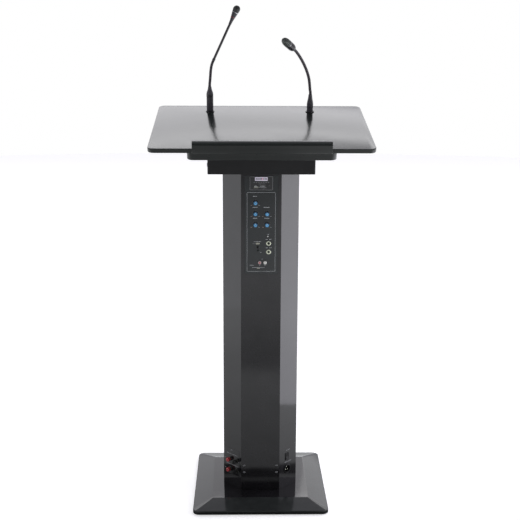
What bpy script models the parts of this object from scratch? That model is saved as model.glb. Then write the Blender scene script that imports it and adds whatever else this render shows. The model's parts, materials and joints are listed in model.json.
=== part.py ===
"""Presentation lectern with a tilting desk, a speaker column and two gooseneck microphones.

Units are metres and +Z is up. The presenter stands on the -Y side and looks along +Y, so the
control panel is on the -Y face of the column and the speakers are behind the +Y face.
"""
import math

import bmesh
import bpy
from mathutils import Vector

MM = 0.001
GAP = 0.3 * MM
THROUGH = 60 * MM
QUARTER = math.pi / 2
DIAGONAL = math.pi / 4
SIDE_VIEW = (QUARTER, 0, QUARTER)

# Base
BASE_SIZE = (415 * MM, 435 * MM)
BASE_CORNER = 20 * MM
BASE_BOTTOM = 2 * MM
BASE_EDGE_TOP = 13 * MM
BASE_TOP = 26 * MM
BASE_FLAT = (299 * MM, 299 * MM)
FOOT_RADIUS = 18 * MM
FOOT_SPREAD = 165 * MM

# Column: an octagon in plan, as deep as it is wide at its centre faces
COLUMN_BOTTOM = BASE_TOP + GAP
COLUMN_TOP = 1030 * MM
FACE_HALF = 60 * MM
FACE_Y = 98 * MM
SIDE_X = 115.5 * MM
CHAMFER_Y = FACE_Y - (SIDE_X - FACE_HALF)
FACE_BOARD = 15 * MM
WING_BOARD = 12 * MM
CHAMFER_MID_X = (FACE_HALF + SIDE_X) / 2
CHAMFER_MID_Y = (FACE_Y + CHAMFER_Y) / 2

# Control panel, measured across and up the presenter's face of the column
PLATE_WIDTH = 100 * MM
PLATE_LOW = 728 * MM
PLATE_HIGH = 1024.5 * MM
PLATE_THICK = 2 * MM
KNOB_X = 17.3 * MM
KNOB_ROWS = (944 * MM, 911 * MM, 878 * MM)
JACK_X = 22.5 * MM
JACK_HEIGHTS = (822 * MM, 796 * MM)
RCA_HEIGHT = 763 * MM
RCA_X = (-4 * MM, 12 * MM)
LED_PLACE = (20 * MM, 843 * MM)
SWITCH_PLACE = (-10 * MM, 806 * MM)
PLAYER_SIZE = (68 * MM, 40 * MM)
PLAYER_HEIGHT = 1002.5 * MM
BUTTON_X = (-1 * MM, 11 * MM, 23 * MM)
BUTTON_DROP = -6 * MM
USB_PLACE = (-16 * MM, -12 * MM)
BOARD_DEPTH = 24 * MM

# Connectors near the foot of the column
TERMINAL_HEIGHT = 110 * MM
TERMINAL_BOX = (54 * MM, 76 * MM, 16 * MM)
TERMINAL_ROWS = (8 * MM, -26 * MM)
TERMINAL_COLUMNS = (-8 * MM, 20 * MM)
INLET_PLACE = (-2.5 * MM, 86 * MM)
INLET_BARREL = 13 * MM
ROCKER_PLACE = (-4 * MM, 128 * MM)
ROCKER_SIZE = (12.4 * MM, 19.2 * MM)
CUTOUT_ROOM = 1.2 * MM

# Speakers behind the audience's face of the column
WOOFER_HEIGHTS = (840 * MM, 700 * MM)
WOOFER_HOLE = 46 * MM
GRILLE_SIZE = (106 * MM, 300 * MM)

# Neck between the column and the desk
TRAY_WIDTH = 317 * MM
TRAY_DEPTH = 230 * MM
TRAY_BOTTOM = COLUMN_TOP + GAP
TRAY_HEIGHT = 50 * MM
SHEET = 3 * MM
PIVOT_HEIGHT = 1047 * MM
PIVOT_RADIUS = 4 * MM

# Desk, measured in its own tilted frame: across, up the slope, out of its top
TILT = math.radians(13.7)
DESK_SIZE = (650 * MM, 436.5 * MM)
DESK_THICK = 13 * MM
DESK_CORNER = 19 * MM
DESK_UP = 37.58 * MM
DESK_OUT = 111.1 * MM
SUPPORT_SIZE = (428 * MM, 424 * MM)
SUPPORT_THICK = 23 * MM
LEDGE_WIDTH = 395 * MM
LEDGE_THICK = 20 * MM
LEDGE_RISE = 26 * MM
LEDGE_DROP = 7 * MM
LEDGE_ROUND = 12 * MM

# Microphones: sockets on the desk, then points of the goosenecks in the standing frame
MIC_X = 158.6 * MM
MIC_UP = 152 * MM
SOCKET_BORE = 9.8 * MM
SOCKET_BARREL = 12 * MM
SOCKET_FLANGE = 13.5 * MM
SOCKET_RIM = 2.5 * MM
LATCH_TAB = (8 * MM, 5.5 * MM, 3.2 * MM)
LATCH_TRAVEL = 1.5 * MM
LEFT_NECK = 4.5 * MM
LEFT_STEM = 3.9 * MM
RIGHT_NECK = 4.7 * MM
LEFT_PLUG = (10.6 * MM, 61 * MM, 80 * MM)
RIGHT_PLUG = (9.7 * MM, 26 * MM, 56 * MM)
LEFT_BEND = Vector((-0.1537, 0.138, 1.3427))
LEFT_HEAD_START = Vector((-0.0955, 0.138, 1.4668))
LEFT_HEAD_LENGTH = 63.5 * MM
LEFT_HEAD_RADIUS = 11.2 * MM
RIGHT_BEND = Vector((0.1559, 0.139, 1.2807))
RIGHT_RISE = Vector((0.1538, 0.127, 1.3301))
RIGHT_HEAD_START = Vector((0.1040, 0.086, 1.3905))
RIGHT_HEAD_AXIS = Vector((-0.68, -0.47, 0.56)).normalized()
RIGHT_HEAD_LENGTH = 57 * MM
RIGHT_HEAD_RADIUS = 12.2 * MM
RIGHT_BOW = 16 * MM


# Scene, collections and materials

def clear_scene():
    for item in list(bpy.data.objects):
        bpy.data.objects.remove(item)


def collection(name):
    made = bpy.data.collections.new(name)
    bpy.context.scene.collection.children.link(made)
    return made


def finish(name, colour, roughness, metallic=0.0):
    material = bpy.data.materials.new(name)
    material.use_nodes = True
    shader = material.node_tree.nodes["Principled BSDF"]
    shader.inputs["Base Color"].default_value = (*colour, 1.0)
    shader.inputs["Roughness"].default_value = roughness
    shader.inputs["Metallic"].default_value = metallic
    return material


clear_scene()
PARTS = collection("presentation_lectern")
CUTTERS = collection("cutters")

LACQUER = finish("black_lacquer", (0.006, 0.006, 0.007), 0.08)
LAMINATE = finish("desk_laminate", (0.012, 0.013, 0.013), 0.28)
STEEL = finish("painted_steel", (0.015, 0.015, 0.016), 0.42)
PLATE = finish("panel_metal", (0.010, 0.010, 0.011), 0.30, 0.2)
RUBBER = finish("rubber", (0.02, 0.02, 0.02), 0.85)
BLACK_PLASTIC = finish("black_plastic", (0.014, 0.014, 0.015), 0.38)
BLUE_PLASTIC = finish("blue_plastic", (0.06, 0.28, 0.58), 0.35)
RED_PLASTIC = finish("red_plastic", (0.62, 0.03, 0.03), 0.35)
WHITE_PLASTIC = finish("white_plastic", (0.75, 0.74, 0.70), 0.35)
CHROME = finish("chrome", (0.75, 0.74, 0.70), 0.12, 1.0)
CONE_PAPER = finish("cone_paper", (0.03, 0.03, 0.03), 0.8)
CIRCUIT = finish("circuit_board", (0.02, 0.16, 0.06), 0.45)
LAMINATIONS = finish("transformer_steel", (0.20, 0.19, 0.18), 0.5, 0.8)
LENS = finish("indicator_lens", (0.62, 0.62, 0.60), 0.15)
GOOSENECK = finish("gooseneck_metal", (0.02, 0.02, 0.021), 0.35, 0.9)
MIC_GRILLE = finish("mic_grille", (0.02, 0.02, 0.02), 0.6, 0.5)


# Shape helpers

def frame(name, location, rotation=(0, 0, 0), parent=None):
    """An empty that carries a group of pieces, or that sits on a joint's axis."""
    empty = bpy.data.objects.new(name, None)
    empty.empty_display_size = 0.02
    empty.location = location
    empty.rotation_euler = rotation
    empty.parent = parent
    PARTS.objects.link(empty)
    return empty


def place(piece, material, parent=None, location=(0, 0, 0), rotation=(0, 0, 0), group=PARTS):
    piece.location = location
    piece.rotation_euler = rotation
    piece.parent = parent
    piece.data.materials.append(material)
    group.objects.link(piece)
    return piece


def fillet(corners, segments=6):
    """The outline through corners (x, y, radius), each rounded by an arc of that radius."""
    points = []
    for index, (x, y, radius) in enumerate(corners):
        here = Vector((x, y))
        before = (Vector(corners[index - 1][:2]) - here).normalized()
        after = (Vector(corners[(index + 1) % len(corners)][:2]) - here).normalized()
        if radius == 0:
            points.append(here)
            continue
        half = before.angle(after) / 2
        centre = here + (before + after).normalized() * radius / math.sin(half)
        start = here + before * radius / math.tan(half) - centre
        sweep = math.pi - 2 * half
        side = 1 if before.cross(after) < 0 else -1
        for step in range(segments + 1):
            turn = side * sweep * step / segments
            cosine, sine = math.cos(turn), math.sin(turn)
            spoke = Vector((start.x * cosine - start.y * sine, start.x * sine + start.y * cosine))
            points.append(centre + spoke)
    return points


def rectangle(width, height, radius=0.0, centre=(0.0, 0.0), segments=6):
    x, y = centre
    corners = [(x - width / 2, y - height / 2, radius), (x + width / 2, y - height / 2, radius),
               (x + width / 2, y + height / 2, radius), (x - width / 2, y + height / 2, radius)]
    return fillet(corners, segments)


def flat_mesh(name, outlines, thickness):
    """A flat plate as thick as asked, centred on local Z = 0, from closed outlines in local XY."""
    curve = bpy.data.curves.new(name, "CURVE")
    curve.dimensions = "2D"
    curve.fill_mode = "BOTH"
    curve.extrude = thickness / 2
    for outline in outlines:
        spline = curve.splines.new("POLY")
        spline.points.add(len(outline) - 1)
        for target, point in zip(spline.points, outline):
            target.co = (point[0], point[1], 0, 1)
        spline.use_cyclic_u = True
    return welded_mesh(name, curve)


def welded_mesh(name, curve):
    guide = bpy.data.objects.new(name + "_guide", curve)
    bpy.context.scene.collection.objects.link(guide)
    evaluated = guide.evaluated_get(bpy.context.evaluated_depsgraph_get())
    mesh = bpy.data.meshes.new_from_object(evaluated)
    mesh.name = name
    edit = bmesh.new()
    edit.from_mesh(mesh)
    bmesh.ops.remove_doubles(edit, verts=edit.verts, dist=1e-6)
    bmesh.ops.recalc_face_normals(edit, faces=edit.faces)
    edit.to_mesh(mesh)
    edit.free()
    bpy.data.objects.remove(guide)
    return mesh


def flat(name, outlines, thickness, material, **where):
    return place(bpy.data.objects.new(name, flat_mesh(name, outlines, thickness)), material, **where)


def block_mesh(name, size, centre=(0, 0, 0)):
    mesh = bpy.data.meshes.new(name)
    edit = bmesh.new()
    bmesh.ops.create_cube(edit, size=1)
    bmesh.ops.scale(edit, vec=size, verts=edit.verts)
    bmesh.ops.translate(edit, vec=centre, verts=edit.verts)
    edit.to_mesh(mesh)
    edit.free()
    return mesh


def block(name, size, material, centre=(0, 0, 0), **where):
    return place(bpy.data.objects.new(name, block_mesh(name, size, centre)), material, **where)


def turned(name, profile, material, steps=32, **where):
    """A solid of revolution about local Z; profile is (radius, height), top first, down the outside."""
    mesh = bpy.data.meshes.new(name)
    edges = [(index, index + 1) for index in range(len(profile) - 1)]
    mesh.from_pydata([(radius, 0, height) for radius, height in profile], edges, [])
    piece = place(bpy.data.objects.new(name, mesh), material, **where)
    screw = piece.modifiers.new("turn", "SCREW")
    screw.axis = "Z"
    screw.steps = steps
    screw.render_steps = steps
    screw.use_merge_vertices = True
    screw.merge_threshold = 1e-5
    screw.use_smooth_shade = True
    return piece


def soften(piece, width, segments=2):
    """Round every sharp edge of a piece."""
    bevel = piece.modifiers.new("soften", "BEVEL")
    bevel.width = width
    bevel.segments = segments
    bevel.limit_method = "ANGLE"
    bevel.angle_limit = math.radians(40)
    return piece


def as_tool(piece):
    piece.hide_render = True
    piece.display_type = "WIRE"
    return piece


def combine(piece, tool, operation):
    boolean = piece.modifiers.new(operation.lower(), "BOOLEAN")
    boolean.operation = operation
    boolean.solver = "EXACT"
    boolean.object = tool
    return piece


def cut_block(piece, size, centre, parent=None):
    tool = block(piece.name + "_block_cut", size, STEEL, centre, parent=parent, group=CUTTERS)
    return combine(piece, as_tool(tool), "DIFFERENCE")


def cut_bore(piece, radius, low, high, parent=None, location=(0, 0, 0), rotation=(0, 0, 0), steps=24):
    profile = [(0, high), (radius, high), (radius, low), (0, low)]
    tool = turned(piece.name + "_bore_cut", profile, STEEL, steps, parent=parent,
                  location=location, rotation=rotation, group=CUTTERS)
    return combine(piece, as_tool(tool), "DIFFERENCE")


def add_block(piece, size, centre, parent=None):
    tool = block(piece.name + "_block_join", size, STEEL, centre, parent=parent, group=CUTTERS)
    return combine(piece, as_tool(tool), "UNION")


def add_pin(piece, radius, low, high, parent, location, steps=12):
    profile = [(0, high), (radius, high), (radius, low), (0, low)]
    tool = turned(piece.name + "_pin_join", profile, STEEL, steps, parent=parent,
                  location=location, group=CUTTERS)
    return combine(piece, as_tool(tool), "UNION")


def dome(radius, centre_height, steps=5):
    """Profile points of a half ball, from its pole down to its equator."""
    angles = [QUARTER * step / steps for step in range(steps + 1)]
    return [(radius * math.sin(angle), centre_height + radius * math.cos(angle)) for angle in angles]


def along(direction):
    """The rotation that turns local +Z to a direction."""
    return Vector(direction).to_track_quat("Z", "Y").to_euler()


# Base

def section(size, corner, height):
    return [Vector((x, y, height)) for x, y in rectangle(*size, corner)]


def base_plate():
    """A plinth, a little deeper than wide: a low upright edge, then a shallow slope to a flat top."""
    levels = [section(BASE_SIZE, BASE_CORNER, BASE_BOTTOM), section(BASE_SIZE, BASE_CORNER, BASE_EDGE_TOP),
              section(BASE_FLAT, 3 * MM, BASE_TOP)]
    edit = bmesh.new()
    rings = [[edit.verts.new(point) for point in level] for level in levels]
    for lower, upper in zip(rings, rings[1:]):
        for index in range(len(lower)):
            after = (index + 1) % len(lower)
            edit.faces.new((lower[index], lower[after], upper[after], upper[index]))
    edit.faces.new(list(reversed(rings[0])))
    edit.faces.new(rings[-1])
    mesh = bpy.data.meshes.new("base_plate")
    edit.to_mesh(mesh)
    edit.free()
    place(bpy.data.objects.new("base_plate", mesh), LACQUER)


def rubber_feet():
    thickness = BASE_BOTTOM - GAP
    profile = [(0, thickness), (FOOT_RADIUS, thickness), (FOOT_RADIUS, 0), (0, 0)]
    for across, side in ((-1, "left"), (1, "right")):
        for deep, end in ((-1, "front"), (1, "rear")):
            spot = (across * FOOT_SPREAD, deep * FOOT_SPREAD, 0)
            turned(f"rubber_foot_{end}_{side}", profile, RUBBER, 24, location=spot)


# Column

def upright(name, outline, low, high, material):
    """A piece of one plan outline that stands between two heights."""
    return flat(name, [outline], high - low, material, location=(0, 0, (low + high) / 2))


def wing_outline(side):
    """Front chamfer, side and rear chamfer of the column, bent from one board."""
    seam = FACE_HALF + GAP / 2
    inset = WING_BOARD * math.sqrt(2)
    offset = FACE_Y + FACE_HALF
    inner_x = SIDE_X - WING_BOARD
    crisp = 1.2 * MM
    right = [(seam, seam - offset, 0), (SIDE_X, -CHAMFER_Y, crisp), (SIDE_X, CHAMFER_Y, crisp),
             (seam, offset - seam, 0), (seam, offset - inset - seam, 0),
             (inner_x, offset - inset - inner_x, 0),
             (inner_x, inner_x + inset - offset, 0), (seam, seam + inset - offset, 0)]
    if side > 0:
        return fillet(right, 2)
    return fillet([(-x, y, radius) for x, y, radius in reversed(right)], 2)


def column_wings(left_panel, right_panel):
    left = upright("column_left_wing", wing_outline(-1), COLUMN_BOTTOM, COLUMN_TOP, LACQUER)
    terminals = (TERMINAL_BOX[0] + 2 * CUTOUT_ROOM, TERMINAL_BOX[1] + 2 * CUTOUT_ROOM, THROUGH)
    cut_block(left, terminals, (0, TERMINAL_HEIGHT, 0), left_panel)
    right = upright("column_right_wing", wing_outline(1), COLUMN_BOTTOM, COLUMN_TOP, LACQUER)
    cut_bore(right, INLET_BARREL + GAP, -THROUGH / 2, THROUGH / 2, right_panel, (*INLET_PLACE, 0))
    rocker = (ROCKER_SIZE[0] + CUTOUT_ROOM, ROCKER_SIZE[1] + 2 * CUTOUT_ROOM, THROUGH)
    cut_block(right, rocker, (*ROCKER_PLACE, 0), right_panel)


def column_front_board(panel):
    half = FACE_HALF - GAP / 2
    outline = rectangle(2 * half, FACE_BOARD, 0, (0, FACE_BOARD / 2 - FACE_Y))
    board = upright("column_front_board", outline, COLUMN_BOTTOM, COLUMN_TOP, LACQUER)
    size = (PLATE_WIDTH + 2 * GAP, PLATE_HIGH - PLATE_LOW + 2 * GAP, THROUGH)
    cut_block(board, size, (0, (PLATE_HIGH + PLATE_LOW) / 2, 0), panel)


def column_rear_board():
    half = FACE_HALF - GAP / 2
    outline = rectangle(2 * half, FACE_BOARD, 0, (0, FACE_Y - FACE_BOARD / 2))
    board = upright("column_rear_board", outline, COLUMN_BOTTOM, COLUMN_TOP, LACQUER)
    for height in WOOFER_HEIGHTS:
        cut_bore(board, WOOFER_HOLE + GAP, -THROUGH / 2, THROUGH / 2, None, (0, FACE_Y, height),
                 (QUARTER, 0, 0), 32)


def inner_octagon(name, low, high, material):
    """A plate that fills the column's inside between two heights."""
    deep = FACE_Y - FACE_BOARD - GAP
    wide = SIDE_X - WING_BOARD - GAP
    inset = WING_BOARD * math.sqrt(2)
    offset = FACE_Y + FACE_HALF - inset - 2 * GAP
    corners = [(offset - deep, -deep), (wide, wide - offset), (wide, offset - wide), (offset - deep, deep)]
    outline = corners + [(-x, y) for x, y in reversed(corners)]
    return upright(name, outline, low, high, material)


def column_plates():
    inner_octagon("column_top_plate", COLUMN_TOP - 5 * MM, COLUMN_TOP, STEEL)
    inner_octagon("column_floor_bracket", COLUMN_BOTTOM, COLUMN_BOTTOM + 6 * MM, STEEL)


# Control panel; its frame has X across, Y up and Z out of the face

def amp_faceplate(panel):
    middle = (PLATE_HIGH + PLATE_LOW) / 2
    plate = flat("amp_faceplate", [rectangle(PLATE_WIDTH, PLATE_HIGH - PLATE_LOW)], PLATE_THICK, PLATE,
                 parent=panel, location=(0, middle, -PLATE_THICK / 2))
    bores = [(x, y, 3.4 * MM) for x, y in knob_places()]
    bores += [(JACK_X, height, 5.6 * MM) for height in JACK_HEIGHTS]
    bores += [(x, RCA_HEIGHT, 3.9 * MM) for x in RCA_X]
    bores.append((*LED_PLACE, 2.5 * MM))
    for x, y, radius in bores:
        cut_bore(plate, radius, -10 * MM, 10 * MM, panel, (x, y, 0), steps=16)
    player_hole = (PLAYER_SIZE[0] - 5 * MM, PLAYER_SIZE[1] - 5 * MM, 20 * MM)
    cut_block(plate, player_hole, (0, PLAYER_HEIGHT, 0), panel)
    cut_block(plate, (4.8 * MM, 14 * MM, 20 * MM), (*SWITCH_PLACE, 0), panel)


def knob_places():
    upper, middle, lower = KNOB_ROWS
    return [(-KNOB_X, upper), (-KNOB_X, middle), (KNOB_X, middle), (-KNOB_X, lower), (KNOB_X, lower)]


def knobs(panel):
    """Five volume and tone knobs, each with its shaft through the plate to the circuit board."""
    names = ("master_volume_knob", "mic_1_volume_knob", "mic_2_volume_knob", "treble_knob", "bass_knob")
    skirt, crown, height, shaft = 6.6 * MM, 5.6 * MM, 12 * MM, 3 * MM
    foot, tail = 0.6 * MM, GAP - BOARD_DEPTH + 1.6 * MM
    profile = [(0, height), (crown - 1 * MM, height), (crown, height - 1 * MM), (crown, 4 * MM),
               (skirt, 3 * MM), (skirt, foot), (shaft, foot), (shaft, tail), (0, tail)]
    for name, (x, y) in zip(names, knob_places()):
        turned(name, profile, BLUE_PLASTIC, 20, parent=panel, location=(x, y, 0))


def jacks(panel):
    """Two 6.35 mm microphone jacks with a bright ring nut each."""
    bore, barrel, nut = 3.2 * MM, 5.2 * MM, 7.2 * MM
    front, floor, back = 3 * MM, -17 * MM, -20 * MM
    profile = [(0, floor), (bore, floor), (bore, front), (nut - 1 * MM, front), (nut, front - 1 * MM),
               (nut, GAP), (barrel, GAP), (barrel, back), (0, back)]
    for index, height in enumerate(JACK_HEIGHTS):
        turned(f"mic_jack_{index + 1}", profile, CHROME, 24, parent=panel, location=(JACK_X, height, 0))


def rca_sockets(panel):
    bore, barrel, collar = 1.6 * MM, 3.5 * MM, 4.6 * MM
    front, floor, back = 7 * MM, -5 * MM, -12 * MM
    profile = [(0, floor), (bore, floor), (bore, front), (collar - 0.6 * MM, front),
               (collar, front - 0.6 * MM), (collar, GAP), (barrel, GAP), (barrel, back), (0, back)]
    for name, x, material in zip(("rca_socket_red", "rca_socket_white"), RCA_X, (RED_PLASTIC, WHITE_PLASTIC)):
        turned(name, profile, material, 20, parent=panel, location=(x, RCA_HEIGHT, 0))


def indicator_and_switch(panel):
    radius, stem = 2 * MM, -9 * MM
    turned("power_led", dome(radius, 0.4 * MM) + [(radius, stem), (0, stem)], LENS, 16,
           parent=panel, location=(*LED_PLACE, 0))
    lever = block("speaker_switch", (4 * MM, 6 * MM, 12 * MM), BLACK_PLASTIC, (0, 0, -2 * MM),
                  parent=panel, location=(*SWITCH_PLACE, 0))
    soften(lever, 0.5 * MM, 1)


def player_module(panel):
    """Sound player: a flange over the plate, a body behind it, a USB slot, three button wells."""
    width, height = PLAYER_SIZE
    player = frame("player_frame", (0, PLAYER_HEIGHT, 0), parent=panel)
    flange = 1.6 * MM
    body = (width - 6 * MM, height - 6 * MM, 15 * MM)
    module = flat("player_module", [rectangle(width, height, 1.5 * MM, segments=2)], flange, BLACK_PLASTIC,
                  parent=player, location=(0, 0, GAP + flange / 2))
    add_block(module, body, (0, 0, flange - body[2] / 2 - 0.2 * MM), player)
    cut_block(module, (12.6 * MM, 5 * MM, 20 * MM), (*USB_PLACE, 0), player)
    for x in BUTTON_X:
        cut_block(module, (7 * MM, 5 * MM, 8 * MM), (x, BUTTON_DROP, 0), player)
    for index, x in enumerate(BUTTON_X):
        key = block(f"player_button_{index + 1}", (6.2 * MM, 4.2 * MM, 4.4 * MM), BLACK_PLASTIC,
                    parent=player, location=(x, BUTTON_DROP, 1.2 * MM))
        soften(key, 0.5 * MM, 1)


def amplifier(panel):
    """The circuit board behind the plate, and the transformer on the column's floor."""
    block("amp_circuit_board", (84 * MM, 205 * MM, 1.6 * MM), CIRCUIT, parent=panel,
          location=(0, 848 * MM, -BOARD_DEPTH))
    core = (76 * MM, 40 * MM, 60 * MM)
    rest = COLUMN_BOTTOM + 6 * MM + GAP
    transformer = block("power_transformer", core, LAMINATIONS, location=(0, 20 * MM, rest + core[2] / 2))
    add_block(transformer, (44 * MM, 60 * MM, 44 * MM), (0, 20 * MM, rest + core[2] / 2))


# Connectors on the column's chamfers; each frame has X across, Y up and Z out of the face

def speaker_terminals(left_panel):
    """Two pairs of binding posts on one plate; a cap unscrews on each post."""
    plate = flat("terminal_plate", [rectangle(64 * MM, 86 * MM, 3 * MM, segments=3)], 2 * MM, BLACK_PLASTIC,
                 parent=left_panel, location=(0, TERMINAL_HEIGHT, GAP + 1 * MM))
    add_block(plate, TERMINAL_BOX, (0, TERMINAL_HEIGHT, GAP + 1 * MM - TERMINAL_BOX[2] / 2), left_panel)
    for row, rise in zip(("upper", "lower"), TERMINAL_ROWS):
        for colour, across, material in zip(("red", "black"), TERMINAL_COLUMNS, (RED_PLASTIC, BLACK_PLASTIC)):
            spot = (across, TERMINAL_HEIGHT + rise, 2 * MM + 2 * GAP)
            terminal_cap(f"terminal_cap_{row}_{colour}", spot, left_panel, material)


def terminal_cap(name, spot, left_panel, material):
    """A round screw cap with a narrow waist at its foot and a 4 mm plug bore in its end."""
    radius, waist, length, bore, floor = 6.4 * MM, 4.9 * MM, 13 * MM, 2 * MM, 5 * MM
    crisp = 1.2 * MM
    profile = [(0, floor), (bore, floor), (bore, length), (radius - crisp, length),
               (radius, length - crisp), (radius, 4 * MM), (waist, 3 * MM), (waist, 0), (0, 0)]
    turned(name, profile, material, 20, parent=left_panel, location=spot)


def mains_side(right_panel):
    inlet = frame("inlet_frame", (*INLET_PLACE, 0), parent=right_panel)
    recess, barrel, flange = 10.5 * MM, INLET_BARREL, 15.5 * MM
    front, floor, back = 2.5 * MM, -12 * MM, -20 * MM
    profile = [(0, floor), (recess, floor), (recess, front), (flange - 1 * MM, front),
               (flange, front - 1 * MM), (flange, GAP), (barrel, GAP), (barrel, back), (0, back)]
    socket = turned("power_inlet", profile, BLACK_PLASTIC, 32, parent=inlet)
    for index in range(3):
        angle = QUARTER + index * math.tau / 3
        spot = (5.2 * MM * math.cos(angle), 5.2 * MM * math.sin(angle), 0)
        add_pin(socket, 1.6 * MM, floor - 2 * MM, floor + 8 * MM, inlet, spot)
    mains_rocker(right_panel)


def mains_rocker(right_panel):
    """A rocker drawn in side view, dished in the middle, pressed in at its lower end."""
    width, height = ROCKER_SIZE
    half, depth, crest = height / 2, 7 * MM, 2.6 * MM
    side = [(-half, -depth), (half, -depth), (half, crest), (0, 1.2 * MM), (-half, crest)]
    hinge = frame("mains_rocker_axis", (*ROCKER_PLACE, 0), (-math.radians(7), 0, 0), right_panel)
    rocker = flat("mains_rocker", [side], width, BLACK_PLASTIC, parent=hinge, rotation=SIDE_VIEW)
    soften(rocker, 0.5 * MM, 1)


# Speakers

def speakers():
    outer, cone, cap = 49 * MM, 37 * MM, 13 * MM
    lip, throat, magnet = 2 * MM, -14 * MM, 30 * MM
    back = -44 * MM
    profile = [(0, throat + 7 * MM), (cap * 0.7, throat + 5 * MM), (cap, throat), (cone, -3 * MM),
               (cone + 2.5 * MM, 0), (cone + 5 * MM, -2.5 * MM), (outer - 3 * MM, lip), (outer, lip - 1 * MM),
               (outer, -1 * MM), (magnet, -24 * MM), (magnet, back), (0, back)]
    face = FACE_Y - FACE_BOARD - lip - GAP
    for name, height in zip(("woofer_upper", "woofer_lower"), WOOFER_HEIGHTS):
        turned(name, profile, CONE_PAPER, 32, location=(0, face, height), rotation=(-QUARTER, 0, 0))
    middle = sum(WOOFER_HEIGHTS) / 2
    grille = flat("speaker_grille", [rectangle(*GRILLE_SIZE, 8 * MM, segments=4)], 3 * MM, STEEL,
                  location=(0, FACE_Y + GAP + 1.5 * MM, middle), rotation=(QUARTER, 0, 0))
    soften(grille, 1 * MM, 2)


# Neck: a folded tray on the column, and two brackets that carry the desk

def neck_tray(pivot):
    height = TRAY_BOTTOM + TRAY_HEIGHT / 2
    tray = flat("neck_tray", [rectangle(TRAY_WIDTH, TRAY_DEPTH, 4 * MM, segments=3)], TRAY_HEIGHT, STEEL,
                location=(0, 0, height))
    inside = (TRAY_WIDTH - 2 * SHEET, TRAY_DEPTH - 2 * SHEET, TRAY_HEIGHT)
    cut_block(tray, inside, (0, 0, height + SHEET))
    cut_bore(tray, PIVOT_RADIUS + GAP, -TRAY_WIDTH, TRAY_WIDTH, pivot, rotation=(0, QUARTER, 0), steps=16)


def pivot_bolts(pivot):
    head, flange = 6.5 * MM, 5.5 * MM
    profile = [(0, flange), (head - 1.2 * MM, flange), (head, flange - 1.2 * MM), (head, GAP),
               (PIVOT_RADIUS, GAP), (PIVOT_RADIUS, -14 * MM), (0, -14 * MM)]
    for name, side in (("pivot_bolt_left", -1), ("pivot_bolt_right", 1)):
        turned(name, profile, STEEL, 24, parent=pivot, location=(side * TRAY_WIDTH / 2, 0, 0),
               rotation=(0, side * QUARTER, 0))


def tilt_brackets(axis):
    """Each bracket is a side plate with a round eye on the pivot and a flange under the desk."""
    top = DESK_OUT - DESK_THICK - SUPPORT_THICK - 2 * GAP
    eye = 13 * MM
    outline = fillet([(-eye, -eye, eye * 0.98), (eye, -eye, eye * 0.98), (eye, 12 * MM, 8 * MM),
                      (62 * MM, top - 14 * MM, 3 * MM), (62 * MM, top, 0), (-48 * MM, top, 0),
                      (-48 * MM, top - 14 * MM, 3 * MM), (-eye, 12 * MM, 8 * MM)], 4)
    inner = TRAY_WIDTH / 2 - SHEET - 2 * GAP
    for name, side in (("tilt_bracket_left", -1), ("tilt_bracket_right", 1)):
        middle = (side * (inner - SHEET / 2), 0, 0)
        bracket = flat(name, [outline], SHEET, STEEL, parent=axis, location=middle, rotation=SIDE_VIEW)
        flange_middle = (side * (inner - 15 * MM), 7 * MM, top - SHEET / 2)
        add_block(bracket, (30 * MM, 110 * MM, SHEET), flange_middle, axis)
        cut_bore(bracket, PIVOT_RADIUS + GAP, -TRAY_WIDTH, TRAY_WIDTH, axis,
                 rotation=(0, QUARTER, 0), steps=16)


# Desk; its frame has X across, Y up the slope and Z out of the top

def desk_board(desk):
    board = flat("desk_board", [rectangle(*DESK_SIZE, DESK_CORNER, segments=8)], DESK_THICK, LAMINATE,
                 parent=desk, location=(0, 0, -DESK_THICK / 2))
    soften(board, 1 * MM, 2)
    for side in (-1, 1):
        cut_bore(board, SOCKET_BARREL + GAP, -THROUGH, THROUGH, desk, (side * MIC_X, MIC_UP, 0))


def support_board(desk):
    centre = -DESK_THICK - GAP - SUPPORT_THICK / 2
    board = flat("support_board", [rectangle(*SUPPORT_SIZE, 18 * MM, segments=6)], SUPPORT_THICK, LAMINATE,
                 parent=desk, location=(0, 0, centre))
    soften(board, 1 * MM, 2)
    for side in (-1, 1):
        cut_bore(board, SOCKET_BARREL + GAP, -THROUGH, THROUGH, desk, (side * MIC_X, MIC_UP, 0))


def ledge(desk):
    """The paper stop, drawn in side view with a well rounded top front edge."""
    near = -DESK_SIZE[1] / 2 - GAP
    far = near - LEDGE_THICK
    corners = [(near, -LEDGE_DROP, 0), (near, LEDGE_RISE, 3 * MM), (far, LEDGE_RISE, LEDGE_ROUND),
               (far, -LEDGE_DROP, 1.5 * MM)]
    flat("ledge", [fillet(corners, 5)], LEDGE_WIDTH, LAMINATE, parent=desk, rotation=SIDE_VIEW)


# Microphones

def mic_socket(name, socket):
    """A socket sunk in the desk, and the tab on its low side that is pressed to free the plug."""
    floor, depth, crisp = -16 * MM, 26 * MM, 1 * MM
    profile = [(0, floor), (SOCKET_BORE, floor), (SOCKET_BORE, SOCKET_RIM),
               (SOCKET_FLANGE - crisp, SOCKET_RIM), (SOCKET_FLANGE, SOCKET_RIM - crisp),
               (SOCKET_FLANGE, GAP), (SOCKET_BARREL, GAP), (SOCKET_BARREL, -depth), (0, -depth)]
    turned(f"{name}_mic_socket", profile, BLACK_PLASTIC, 28, parent=socket)
    length, tall = LATCH_TAB[1:]
    down_slope = SOCKET_FLANGE + LATCH_TRAVEL + 2 * GAP + length / 2
    tab = block(f"{name}_latch_tab", LATCH_TAB, BLACK_PLASTIC, parent=socket,
                location=(0, -down_slope, GAP + tall / 2))
    soften(tab, 0.8 * MM, 2)


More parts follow.
